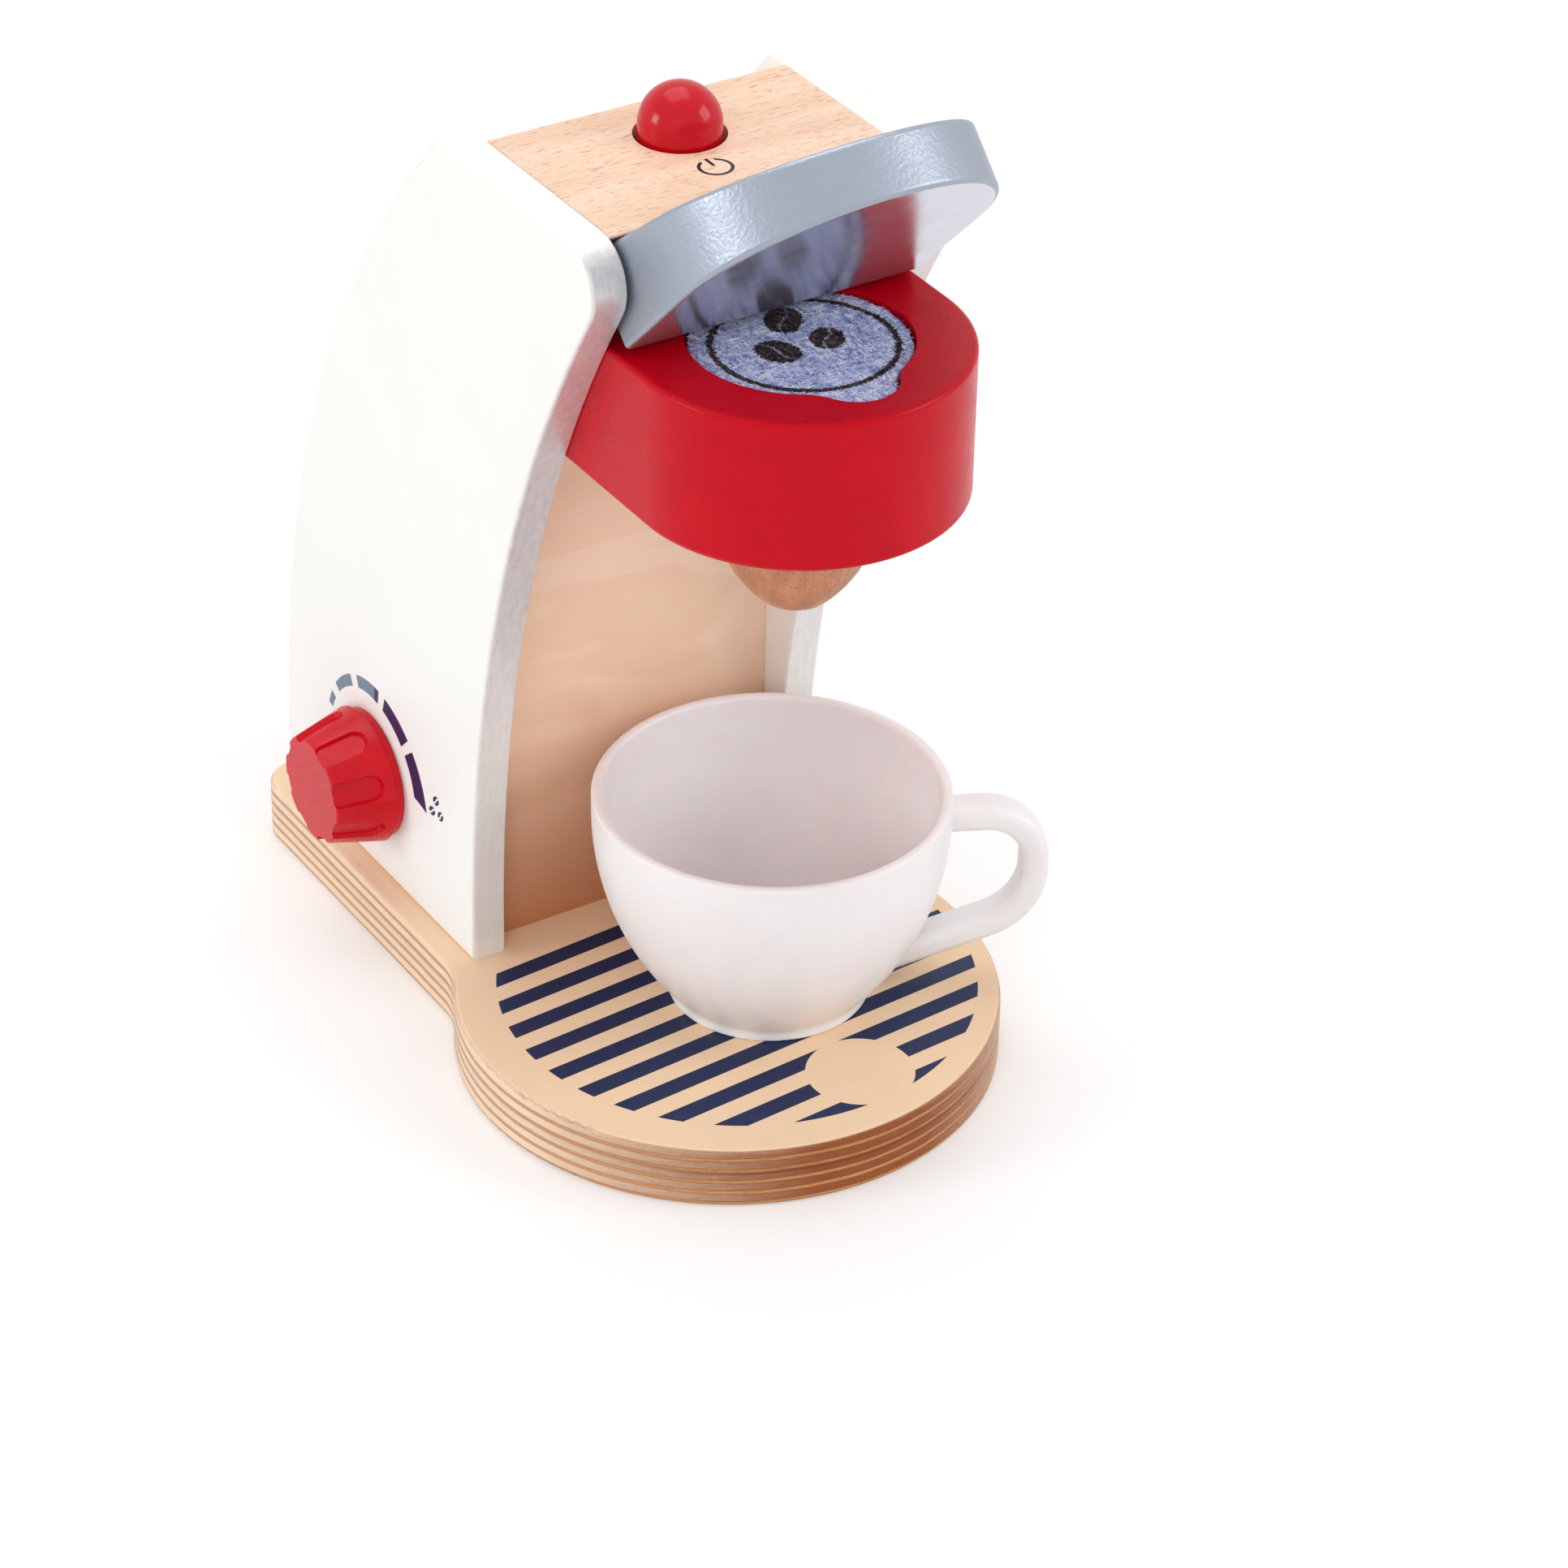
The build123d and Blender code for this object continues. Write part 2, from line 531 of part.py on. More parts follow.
with BuildPart() as hinge_washers:
    for side in (-1, 1):
        with BuildSketch(at_x(side * HALF_GAP)):
            with Locations((HINGE_Y, HINGE_Z)):
                Circle(HINGE_WASHER_RADIUS)
                Circle(HINGE_PIN_RADIUS + RUNNING_CLEARANCE, mode=Mode.SUBTRACT)
        extrude(amount=-side * HINGE_WASHER_THICKNESS)
save(hinge_washers, "hinge_washers")

# --------------------------------------------------------- button and spring
flange_top_z = BODY_TOP_Z - BUTTON_COLLAR_DEPTH - BUTTON_REST_GAP
flange_bottom_z = flange_top_z - BUTTON_FLANGE_THICKNESS
spring_top_z = flange_bottom_z + SPRING_POCKET_DEPTH
dome_z = BODY_TOP_Z + BUTTON_RISE - BUTTON_RADIUS

with BuildPart() as power_button:
    with BuildSketch(upright(0, BUTTON_Y, 0)):
        with BuildLine():
            Polyline((0, dome_z + BUTTON_RADIUS), (0, spring_top_z),
                     (SPRING_POCKET_RADIUS, spring_top_z),
                     (SPRING_POCKET_RADIUS, flange_bottom_z),
                     (BUTTON_FLANGE_RADIUS, flange_bottom_z),
                     (BUTTON_FLANGE_RADIUS, flange_top_z), (BUTTON_RADIUS, flange_top_z),
                     (BUTTON_RADIUS, dome_z))
            RadiusArc((BUTTON_RADIUS, dome_z), (0, dome_z + BUTTON_RADIUS), -BUTTON_RADIUS)
        make_face()
    revolve(axis=Axis((0, BUTTON_Y, 0), (0, 0, 1)))
save(power_button, "power_button")

spring_length = spring_top_z - HEAD_TOP_Z - 2 * SPRING_WIRE_RADIUS

with BuildPart() as button_spring:
    with BuildLine() as coil:
        Helix(pitch=spring_length / SPRING_TURNS, height=spring_length,
              radius=SPRING_COIL_RADIUS,
              center=(0, BUTTON_Y, HEAD_TOP_Z + SPRING_WIRE_RADIUS))
    with BuildSketch(Plane(origin=coil.line @ 0, z_dir=coil.line % 0)):
        RegularPolygon(SPRING_WIRE_RADIUS, SPRING_WIRE_SIDE_COUNT)
    sweep(path=coil.line, is_frenet=True)
save(button_spring, "button_spring")

# ---------------------------------------------------------------------- dial
# The dial stands on the outside of the left panel. Its axle runs through the
# panel, and a screw and washer hold it against a ring inside.
dial_plane = Plane(origin=(-PANEL_OUTER_X - DIAL_GAP, DIAL_Y, DIAL_Z),
                   x_dir=(0, -1, 0), z_dir=(-1, 0, 0))
axle_length = DIAL_GAP + PANEL_THICKNESS + DIAL_RING_THICKNESS + DIAL_RING_CLEARANCE
screw_in_axle = DIAL_SCREW_LENGTH - DIAL_WASHER_THICKNESS

with BuildPart() as dial_knob:
    with BuildSketch(dial_plane):
        Circle(DIAL_FLANGE_RADIUS)
    extrude(amount=DIAL_HEIGHT - DIAL_BODY_HEIGHT)
    with BuildSketch(dial_plane.offset(DIAL_HEIGHT - DIAL_BODY_HEIGHT)):
        Circle(DIAL_BASE_RADIUS)
    with BuildSketch(dial_plane.offset(DIAL_HEIGHT)):
        Circle(DIAL_FACE_RADIUS)
    loft()
    fillet(dial_knob.edges().sort_by(Axis.X)[0], DIAL_EDGE_ROUND)
    with BuildSketch(*[grip_plane(DIAL_GRIP_TURN + 360 / DIAL_GRIPS * grip)
                       for grip in range(DIAL_GRIPS)]):
        SlotOverall(DIAL_GRIP_LENGTH, DIAL_GRIP_WIDTH)
    extrude(amount=DIAL_BASE_RADIUS - DIAL_FACE_RADIUS, taper=-DIAL_GRIP_FLARE,
            mode=Mode.SUBTRACT)
    with BuildSketch(dial_plane):
        Circle(DIAL_AXLE_RADIUS)
    extrude(amount=-axle_length)
    with BuildSketch(dial_plane.offset(-axle_length)):
        Circle(DIAL_SCREW_RADIUS + PRESS_CLEARANCE)
    extrude(amount=screw_in_axle, mode=Mode.SUBTRACT)
save(dial_knob, "dial_knob")

with BuildPart() as dial_friction_ring:
    with BuildSketch(at_x(-HALF_GAP)):
        with Locations((DIAL_Y, DIAL_Z)):
            Circle(DIAL_WASHER_RADIUS)
            Circle(DIAL_AXLE_RADIUS + RUNNING_CLEARANCE, mode=Mode.SUBTRACT)
    extrude(amount=DIAL_RING_THICKNESS)
save(dial_friction_ring, "dial_friction_ring")

with BuildPart() as dial_washer:
    with BuildSketch(dial_plane.offset(-axle_length)):
        Circle(DIAL_WASHER_RADIUS)
        Circle(DIAL_SCREW_RADIUS + PRESS_CLEARANCE, mode=Mode.SUBTRACT)
    extrude(amount=-DIAL_WASHER_THICKNESS)
save(dial_washer, "dial_washer")

with BuildPart() as dial_screw:
    with BuildSketch(dial_plane.offset(-axle_length - DIAL_WASHER_THICKNESS)):
        Circle(DIAL_SCREW_HEAD_RADIUS)
    extrude(amount=-DIAL_SCREW_HEAD_HEIGHT)
    fillet(dial_screw.edges().sort_by(Axis.X)[-1], DIAL_SCREW_HEAD_ROUND)
    with BuildSketch(dial_plane.offset(-axle_length - DIAL_WASHER_THICKNESS)):
        Circle(DIAL_SCREW_RADIUS)
    extrude(amount=DIAL_SCREW_LENGTH)
    with BuildSketch(dial_plane.offset(-axle_length - DIAL_WASHER_THICKNESS
                                       - DIAL_SCREW_HEAD_HEIGHT)):
        Rectangle(SCREW_SLOT_LENGTH, SCREW_SLOT_WIDTH)
        Rectangle(SCREW_SLOT_WIDTH, SCREW_SLOT_LENGTH)
    extrude(amount=SCREW_SLOT_DEPTH, mode=Mode.SUBTRACT)
save(dial_screw, "dial_screw")

# ----------------------------------------------------------------------- cup
# The wall follows one arc, upright near the rim, down to the waist over a low
# foot. The handle is swept round its two bends, and the hollow is cut last,
# through its root.
cup_plane = upright(CUP_X, CUP_Y, CUP_HANDLE_ANGLE)
cup_axis = Axis((CUP_X, CUP_Y, 0), (0, 0, 1))
cup_rim_z = BASE_THICKNESS + CUP_HEIGHT
cup_shoulder_z = BASE_THICKNESS + CUP_SHOULDER_HEIGHT


def cup_arc_radius(height: float, inset: float) -> float:
    """Radius of the cup at a height above its foot, this far inside the wall."""
    drop = CUP_SHOULDER_HEIGHT - height
    centre = CUP_RIM_RADIUS - CUP_CURVE_RADIUS
    return centre + math.sqrt((CUP_CURVE_RADIUS - inset)**2 - drop**2)


cup_foot_radius = cup_arc_radius(CUP_FOOT_HEIGHT, 0) + CUP_FOOT_FLARE
with BuildPart() as cup:
    with BuildSketch(cup_plane) as cup_outline:
        with BuildLine():
            waist = (cup_arc_radius(CUP_FOOT_HEIGHT, 0), BASE_THICKNESS + CUP_FOOT_HEIGHT)
            shoulder = (CUP_RIM_RADIUS, cup_shoulder_z)
            TangentArc(shoulder, waist, tangent=(0, -1))
            Polyline(shoulder, (CUP_RIM_RADIUS, cup_rim_z), (0, cup_rim_z),
                     (0, BASE_THICKNESS), (cup_foot_radius, BASE_THICKNESS), waist)
        make_face()
        foot_corner = cup_outline.vertices().group_by(Axis.Y)[0].sort_by(Axis.X)[-1]
        fillet(foot_corner, CUP_FOOT_ROUND)
        fillet(cup_outline.vertices().sort_by_distance((*waist, 0))[0], CUP_WAIST_ROUND)
    revolve(axis=cup_axis)
    with BuildLine(cup_plane) as handle_line:
        reach = CUP_RIM_RADIUS + CUP_HANDLE_REACH
        FilletPolyline((CUP_RIM_RADIUS - CUP_WALL, BASE_THICKNESS + CUP_HANDLE_TOP_HEIGHT),
                       (reach, BASE_THICKNESS + CUP_HANDLE_TOP_HEIGHT),
                       (reach, BASE_THICKNESS + CUP_HANDLE_CORNER_HEIGHT),
                       (cup_arc_radius(0, 0), BASE_THICKNESS + CUP_HANDLE_FOOT_HEIGHT),
                       radius=(CUP_HANDLE_UPPER_BEND, CUP_HANDLE_LOWER_BEND))
    with BuildSketch(Plane(origin=handle_line.line @ 0, x_dir=(0, 0, 1),
                           z_dir=handle_line.line % 0)):
        RectangleRounded(CUP_HANDLE_THICKNESS, CUP_HANDLE_WIDTH, CUP_HANDLE_ROUND)
    sweep(path=handle_line.line)
    with BuildSketch(cup_plane) as hollow:
        with BuildLine():
            floor_edge = (cup_arc_radius(CUP_FLOOR, CUP_WALL), BASE_THICKNESS + CUP_FLOOR)
            inner_shoulder = (CUP_RIM_RADIUS - CUP_WALL, cup_shoulder_z)
            TangentArc(inner_shoulder, floor_edge, tangent=(0, -1))
            Polyline(inner_shoulder, (CUP_RIM_RADIUS - CUP_WALL, cup_rim_z), (0, cup_rim_z),
                     (0, BASE_THICKNESS + CUP_FLOOR), floor_edge)
        make_face()
    revolve(axis=cup_axis, mode=Mode.SUBTRACT)
    with BuildSketch(Plane.XY.offset(BASE_THICKNESS)):
        with Locations((CUP_X, CUP_Y)):
            Circle(cup_foot_radius - CUP_FOOT_RING)
    extrude(amount=CUP_FOOT_RECESS, mode=Mode.SUBTRACT)
    fillet(cup.edges().group_by(Axis.Z)[-1], CUP_LIP_ROUND)
save(cup, "cup")
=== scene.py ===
"""Finishes, prints, felt pad, studio and camera for the toy coffee maker.

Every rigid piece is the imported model's own mesh, dressed here with a procedural
finish. The felt coffee pad is rebuilt as a soft piece with its loose fibres.
Lengths are metres in the model's frame: +Z up, -Y to the front, the dial on -X.
"""
import logging
import math
import random
from dataclasses import dataclass, field
from enum import Enum
from functools import reduce

import bmesh
import bpy
from mathutils import Matrix, Vector


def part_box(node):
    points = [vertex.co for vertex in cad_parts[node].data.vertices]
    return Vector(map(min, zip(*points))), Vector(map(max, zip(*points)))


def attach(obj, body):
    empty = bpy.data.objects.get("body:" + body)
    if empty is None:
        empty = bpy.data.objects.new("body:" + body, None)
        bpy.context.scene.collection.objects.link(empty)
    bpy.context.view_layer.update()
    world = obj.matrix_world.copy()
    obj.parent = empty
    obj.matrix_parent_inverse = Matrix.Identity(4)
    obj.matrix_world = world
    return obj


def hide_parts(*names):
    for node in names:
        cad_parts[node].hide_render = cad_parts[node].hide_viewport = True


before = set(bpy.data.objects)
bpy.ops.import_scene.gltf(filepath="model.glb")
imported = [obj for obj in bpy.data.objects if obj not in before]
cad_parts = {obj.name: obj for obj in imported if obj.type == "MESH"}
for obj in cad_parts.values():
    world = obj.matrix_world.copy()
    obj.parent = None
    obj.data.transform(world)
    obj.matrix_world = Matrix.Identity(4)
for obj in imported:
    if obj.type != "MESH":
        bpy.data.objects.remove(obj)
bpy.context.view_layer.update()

MM = 0.001
UP = Vector((0.0, 0.0, 1.0))
BACKGROUND_RAYS = ("Is Camera Ray", "Is Glossy Ray", "Is Transmission Ray")
log = logging.getLogger("coffee_maker")

Pair = tuple[float, float]
Triple = tuple[float, float, float]
Colour = tuple[float, float, float, float]


class Body(Enum):
    """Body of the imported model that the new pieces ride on."""

    MACHINE = "machine"


class Slot(Enum):
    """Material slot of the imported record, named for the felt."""

    FELT = "felt"


class Grain(Enum):
    """Direction in which a piece of wood has its grain."""

    ALONG_X = (1.0, 0.0, 0.0)
    ALONG_Y = (0.0, 1.0, 0.0)
    ALONG_Z = (0.0, 0.0, 1.0)

    def squeeze(self, stretch: float) -> Triple:
        """Factors that squeeze points along the grain, so that noise is drawn out along it."""
        return tuple(1.0 - part + part / stretch for part in self.value)


def screen(red: int, green: int, blue: int) -> Colour:
    """Linear colour of a screen colour.

    Args:
        red: Screen red, 0 to 255.
        green: Screen green, 0 to 255.
        blue: Screen blue, 0 to 255.

    Returns:
        The linear red, green and blue, and an alpha of 1.
    """
    linear = []
    for channel in (red, green, blue):
        value = channel / 255
        linear.append(value / 12.92 if value <= 0.04045 else ((value + 0.055) / 1.055) ** 2.4)
    return (*linear, 1.0)


def placed(name: str, data: bpy.types.ID) -> bpy.types.Object:
    """Puts an object into the scene.

    Args:
        name: Its name.
        data: The mesh, lamp or camera that it shows.

    Returns:
        The object.
    """
    made = bpy.data.objects.new(name, data)
    bpy.context.scene.collection.objects.link(made)
    return made


@dataclass(frozen=True)
class Value:
    """A number, vector or colour that nodes work out, open to the usual sums."""

    graph: "NodeGraph"
    socket: bpy.types.NodeSocket

    def __add__(self, other: "Wire") -> "Value":
        """This and another number."""
        return self.graph.calc("ADD", self, other)

    def __sub__(self, other: "Wire") -> "Value":
        """This less another number."""
        return self.graph.calc("SUBTRACT", self, other)

    def __rsub__(self, other: float) -> "Value":
        """Another number less this."""
        return self.graph.calc("SUBTRACT", other, self)

    def __mul__(self, other: "Wire") -> "Value":
        """This times another number."""
        return self.graph.calc("MULTIPLY", self, other)

    def __truediv__(self, other: float) -> "Value":
        """This divided by another number."""
        return self.graph.calc("DIVIDE", self, other)

    def __abs__(self) -> "Value":
        """This without its sign."""
        return self.graph.calc("ABSOLUTE", self)


Wire = float | Value
Feed = Wire | Triple | Colour
Flat = tuple[Value, Value]


class NodeGraph:
    """The nodes of a material or world, with short calls for their sums and textures."""

    def __init__(self, owner: bpy.types.Material | bpy.types.World) -> None:
        """Starts from the nodes that Blender gives a new material or world.

        Args:
            owner: The material or world.
        """
        owner.use_nodes = True
        self.owner = owner
        self.tree = owner.node_tree
        self.source = self.tree.nodes.new("ShaderNodeTexCoord")

    @property
    def place(self) -> Value:
        """Point on the piece, in the model's frame at rest."""
        return Value(self, self.source.outputs["Object"])

    @property
    def facing(self) -> Value:
        """Surface direction of the piece, in the model's frame at rest."""
        return Value(self, self.source.outputs["Normal"])

    def connect(self, value: Feed, socket: bpy.types.NodeSocket) -> None:
        """Feeds a socket.

        Args:
            value: What nodes work out, or a constant.
            socket: The input socket.
        """
        if isinstance(value, Value):
            self.tree.links.new(value.socket, socket)
        else:
            socket.default_value = value

    def node(self, kind: str, feeds: dict[int | str, Feed], outlet: int | str = 0,
             **settings: str | bool) -> Value:
        """Adds a node.

        Args:
            kind: Blender's name of the node, without its ShaderNode.
            feeds: What feeds its inputs, by their numbers or names.
            outlet: Number or name of the output that counts.
            **settings: The node's own settings.

        Returns:
            What the node works out.
        """
        node = self.tree.nodes.new(f"ShaderNode{kind}")
        for name, value in settings.items():
            setattr(node, name, value)
        for name, value in feeds.items():
            self.connect(value, node.inputs[name])
        return Value(self, node.outputs[outlet])

    def finish(self, shader: str = "Principled BSDF",
               **inputs: Feed) -> bpy.types.Material | bpy.types.World:
        """Sets a shader's inputs and gives the finished material or world.

        Args:
            shader: Name of the shader's node.
            **inputs: Input names with underscores for spaces, and what feeds them.

        Returns:
            The material or world.
        """
        for name, value in inputs.items():
            self.connect(value, self.tree.nodes[shader].inputs[name.replace("_", " ")])
        return self.owner

    def calc(self, operation: str, *values: Wire) -> Value:
        """One Math node, by Blender's name of the operation, with its operands."""
        return self.node("Math", dict(enumerate(values)), operation=operation)

    def either(self, *masks: Value) -> Value:
        """The greatest of several masks."""
        return reduce(lambda first, second: self.calc("MAXIMUM", first, second), masks)

    def ramp(self, value: Value, low: float, high: float, smooth: bool = False,
             start: float = 0.0, end: float = 1.0) -> Value:
        """A value carried from one range to another, clamped at both ends.

        Args:
            value: The value.
            low: Where the result is start.
            high: Where the result is end.
            smooth: Whether the change eases in and out.
            start: Result at low.
            end: Result at high.

        Returns:
            The carried value.
        """
        kind = "SMOOTHSTEP" if smooth else "LINEAR"
        feeds = dict(enumerate((value, low, high, start, end)))
        return self.node("MapRange", feeds, interpolation_type=kind, clamp=True)

    def between(self, share: Value, start: float, end: float) -> Value:
        """The number that lies this share of the way from one to another."""
        return self.ramp(share, 0.0, 1.0, start=start, end=end)

    def fading(self, value: Value, low: float, high: float) -> Value:
        """Mask that is 1 up to low and eases down to 0 at high."""
        return self.ramp(value, low, high, True, 1.0, 0.0)

    def below(self, value: Wire, limit: Wire, soft: float) -> Value:
        """Mask of where a value is under a limit, with an edge this soft."""
        return self.ramp(limit - value, -soft, soft)

    def axes(self, vector: Value) -> list[Value]:
        """The X, Y and Z of a vector."""
        parts = self.node("SeparateXYZ", {0: vector}).socket.node
        return [Value(self, socket) for socket in parts.outputs]

    def squeezed(self, by: Triple) -> Value:
        """Point on the piece, with each axis multiplied by its own factor."""
        return self.node("VectorMath", {0: self.place, 1: by}, operation="MULTIPLY")

    def along(self, vector: Value, direction: Triple) -> Value:
        """How far a vector reaches in a direction."""
        return self.node("VectorMath", {0: vector, 1: direction}, "Value",
                         operation="DOT_PRODUCT")

    def noise(self, size: float, detail: float = 2.0, roughness: float = 0.5,
              distortion: float = 0.0, at: Value | None = None) -> Value:
        """Smooth noise, about 0.25 to 0.75.

        Args:
            size: Length of one lump, in the units of the place where it is read.
            detail: Number of finer layers.
            roughness: Strength of the finer layers.
            distortion: How far the pattern is pulled about.
            at: Where it is read, if not at the point on the piece.

        Returns:
            The noise.
        """
        feeds = {"Vector": at or self.place, "Scale": 1 / size, "Detail": detail,
                 "Roughness": roughness, "Distortion": distortion}
        return self.node("TexNoise", feeds)

    def patchy(self, size: float, detail: float, least: float, most: float) -> Value:
        """Roughness that drifts between two levels in patches of this size."""
        return self.ramp(self.noise(size, detail), 0.3, 0.7, start=least, end=most)

    def mixed(self, share: Wire, first: Value | Colour, second: Value | Colour) -> Value:
        """The colour that lies this share of the way from one to another."""
        return self.node("Mix", {0: share, 6: first, 7: second}, 2, data_type="RGBA")

    def clouded(self, size: float, clear: Colour, cloud: Colour) -> Value:
        """A colour with soft clouds of another, of this size."""
        return self.mixed(self.ramp(self.noise(size, 3.0, 0.55), 0.35, 0.7, True), clear, cloud)

    def bumped(self, height: Value, depth: float, strength: float = 1.0,
               over: Value | None = None) -> Value:
        """A surface direction with small bumps.

        Args:
            height: Height of the surface, 0 to 1.
            depth: Depth in metres that a height of 1 stands for.
            strength: Share of the effect.
            over: Bumps that these are laid on, if any.

        Returns:
            The changed surface direction.
        """
        feeds = {"Strength": strength, "Distance": depth, "Height": height}
        if over is not None:
            feeds["Normal"] = over
        return self.node("Bump", feeds)

    def turned(self, spot: Flat, centre: Pair, degrees: float = 0.0) -> Flat:
        """Flat coordinates about a centre, turned with a print.

        Args:
            spot: The plane's two coordinates.
            centre: Centre of the print.
            degrees: How far the print is turned.

        Returns:
            The print's own two coordinates.
        """
        cosine = math.cos(math.radians(degrees))
        sine = math.sin(math.radians(degrees))
        right = spot[0] - centre[0]
        ahead = spot[1] - centre[1]
        return right * cosine + ahead * sine, ahead * cosine - right * sine

    def reach(self, spot: Flat) -> Value:
        """Distance of flat coordinates from their centre."""
        square = spot[0] * spot[0]
        return self.calc("SQRT", self.calc("MULTIPLY_ADD", spot[1], spot[1], square))

    def ring(self, spot: Flat, radius: float, stroke: float, soft: float) -> Value:
        """Mask of a ring about the centre of flat coordinates, with an edge this soft."""
        return self.below(abs(self.reach(spot) - radius), stroke / 2, soft)

    def background_rays(self) -> Value:
        """Mask of the rays that show the background: seen, mirrored or through glass."""
        path = self.node("LightPath", {}).socket.node
        return self.either(*(Value(self, path.outputs[name]) for name in BACKGROUND_RAYS))


@dataclass(frozen=True)
class Bean:
    """A printed coffee bean: an oval with a wavy slit along it."""

    centre: Pair
    length: float
    width: float
    degrees: float
    slit: float
    wave_share: float = 0.09

    def mask(self, graph: NodeGraph, spot: Flat, soft: float) -> Value:
        """Mask of the ink.

        Args:
            graph: The material's nodes.
            spot: Coordinates on the printed face.
            soft: Softness of the ink's edge.

        Returns:
            The mask, 1 inside the ink.
        """
        along, across = graph.turned(spot, self.centre, self.degrees)
        squeezed = across * (self.length / self.width)
        inside = graph.below(graph.reach((along, squeezed)), self.length / 2, soft)
        wave = graph.calc("SINE", along * (math.tau / self.length))
        line = graph.calc("MULTIPLY_ADD", wave, self.width * self.wave_share, across)
        return inside * graph.below(self.slit / 2, abs(line), soft)


@dataclass(frozen=True)
class Print:
    """Ink on a piece: its colour, how crisp its edge is and how far it reaches into a face."""

    ink: Colour
    soft: float = 0.05 * MM
    depth: float = 0.2 * MM

    def mask(self, graph: NodeGraph) -> Value:
        """Mask of the ink on the piece, 1 inside the ink."""
        raise NotImplementedError

    def over(self, graph: NodeGraph, colour: Value) -> Value:
        """A colour with the print on it."""
        return graph.mixed(self.mask(graph), colour, self.ink)

    def on_face(self, graph: NodeGraph, height: float) -> Value:
        """Mask of the level face at this height."""
        return graph.calc("GREATER_THAN", graph.axes(graph.place)[2], height - self.depth)


@dataclass(frozen=True)
class StandStripes(Print):
    """Stripes across the round stand, with a bare spot left in them."""

    centre: Pair = (3.0 * MM, 0.5 * MM)
    degrees: float = 4.0
    radius: float = 54.6 * MM
    first_line: float = 30.7 * MM
    pitch: float = 9.25 * MM
    width: float = 4.5 * MM
    spot: Pair = (8.0 * MM, -43.0 * MM)
    spot_radius: float = 12.2 * MM
    board_top: float = 15.0 * MM

    def mask(self, graph: NodeGraph) -> Value:
        """Mask of the stripes on the top of the board.

        Args:
            graph: The material's nodes.

        Returns:
            The mask.
        """
        x, y, _ = graph.axes(graph.place)
        own = graph.turned((x, y), self.centre, self.degrees)
        inside = graph.below(graph.reach(own), self.radius, self.soft)
        count = (self.first_line - own[1]) / self.pitch
        off_line = abs(count - graph.calc("ROUND", count)) * self.pitch
        stripe = graph.below(off_line, self.width / 2, self.soft)
        started = graph.calc("GREATER_THAN", count, -0.5)
        to_spot = graph.reach(graph.turned((x, y), self.spot))
        off_spot = graph.below(self.spot_radius, to_spot, self.soft)
        return inside * stripe * started * off_spot * self.on_face(graph, self.board_top)


@dataclass(frozen=True)
class PowerSign(Print):
    """The usual on-off sign: an open ring with a bar."""

    centre: Pair = (-1.9 * MM, 6.4 * MM)
    radius: float = 3.5 * MM
    stroke: float = 0.8 * MM
    bar_start: float = 0.6 * MM
    bar_end: float = 4.2 * MM
    opening: float = 1.5 * MM
    block_top: float = 218.0 * MM

    def mask(self, graph: NodeGraph) -> Value:
        """Mask of the sign on the top of the block.

        Args:
            graph: The material's nodes.

        Returns:
            The mask.
        """
        x, y, _ = graph.axes(graph.place)
        own = graph.turned((x, y), self.centre)
        aside, upward = abs(own[0]), own[1]
        ahead = graph.calc("GREATER_THAN", upward, 0.0)
        shut = 1.0 - ahead * graph.below(aside, self.opening, self.soft)
        ring = graph.ring(own, self.radius, self.stroke, self.soft) * shut
        bar = (graph.below(aside, self.stroke / 2, self.soft)
               * graph.below(upward, self.bar_end, self.soft)
               * graph.below(self.bar_start, upward, self.soft))
        return graph.either(ring, bar) * self.on_face(graph, self.block_top)


@dataclass(frozen=True)
class DialScale(Print):
    """Growing scale round the dial, of five bars that widen, and three beans at its end."""

    centre: Pair = (83.5 * MM, 40.9 * MM)
    inner: float = 20.3 * MM
    outer_start: float = 22.2 * MM
    outer_end: float = 25.9 * MM
    bars: tuple[Pair, ...] = ((20.0, 31.0), (40.0, 65.0), (73.0, 99.5), (106.0, 134.5),
                              (140.7, 174.0))
    slant: float = 5.2
    turn_soft: float = 0.15
    face: float = -44.8 * MM
    beans: tuple[Bean, ...] = (
        Bean((53.2 * MM, 49.7 * MM), 3.0 * MM, 2.3 * MM, 141.0, 0.45 * MM),
        Bean((55.1 * MM, 46.0 * MM), 3.0 * MM, 2.3 * MM, 148.0, 0.45 * MM),
        Bean((51.2 * MM, 46.6 * MM), 3.0 * MM, 2.3 * MM, 136.0, 0.45 * MM),
    )

    def polar(self, graph: NodeGraph) -> Flat:
        """Distance from the dial's axis, and angle in degrees round it.

        Args:
            graph: The material's nodes.

        Returns:
            The distance and the angle.
        """
        _, y, z = graph.axes(graph.place)
        across, upward = graph.turned((y, z), self.centre)
        angle = graph.calc("DEGREES", graph.calc("ARCTAN2", upward, across))
        return graph.reach((across, upward)), angle

    def mask(self, graph: NodeGraph) -> Value:
        """Mask of the scale on the outside of the left panel.

        Args:
            graph: The material's nodes.

        Returns:
            The mask.
        """
        distance, angle = self.polar(graph)
        first, last = self.bars[0][0], self.bars[-1][1]
        outer = graph.ramp(angle, first, last, start=self.outer_start, end=self.outer_end)
        width = (graph.below(self.inner, distance, self.soft)
                 * graph.below(distance, outer, self.soft))
        lead = (outer - distance) / (self.outer_end - self.inner)
        slanted = graph.calc("MULTIPLY_ADD", lead, self.slant, angle)
        bars = [graph.below(start, angle, self.turn_soft)
                * graph.below(slanted if end == last else angle, end, self.turn_soft)
                for start, end in self.bars]
        x, y, z = graph.axes(graph.place)
        beans = [bean.mask(graph, (y, z), self.soft) for bean in self.beans]
        inked = graph.either(width * graph.either(*bars), *beans)
        return inked * graph.calc("LESS_THAN", x, self.face)


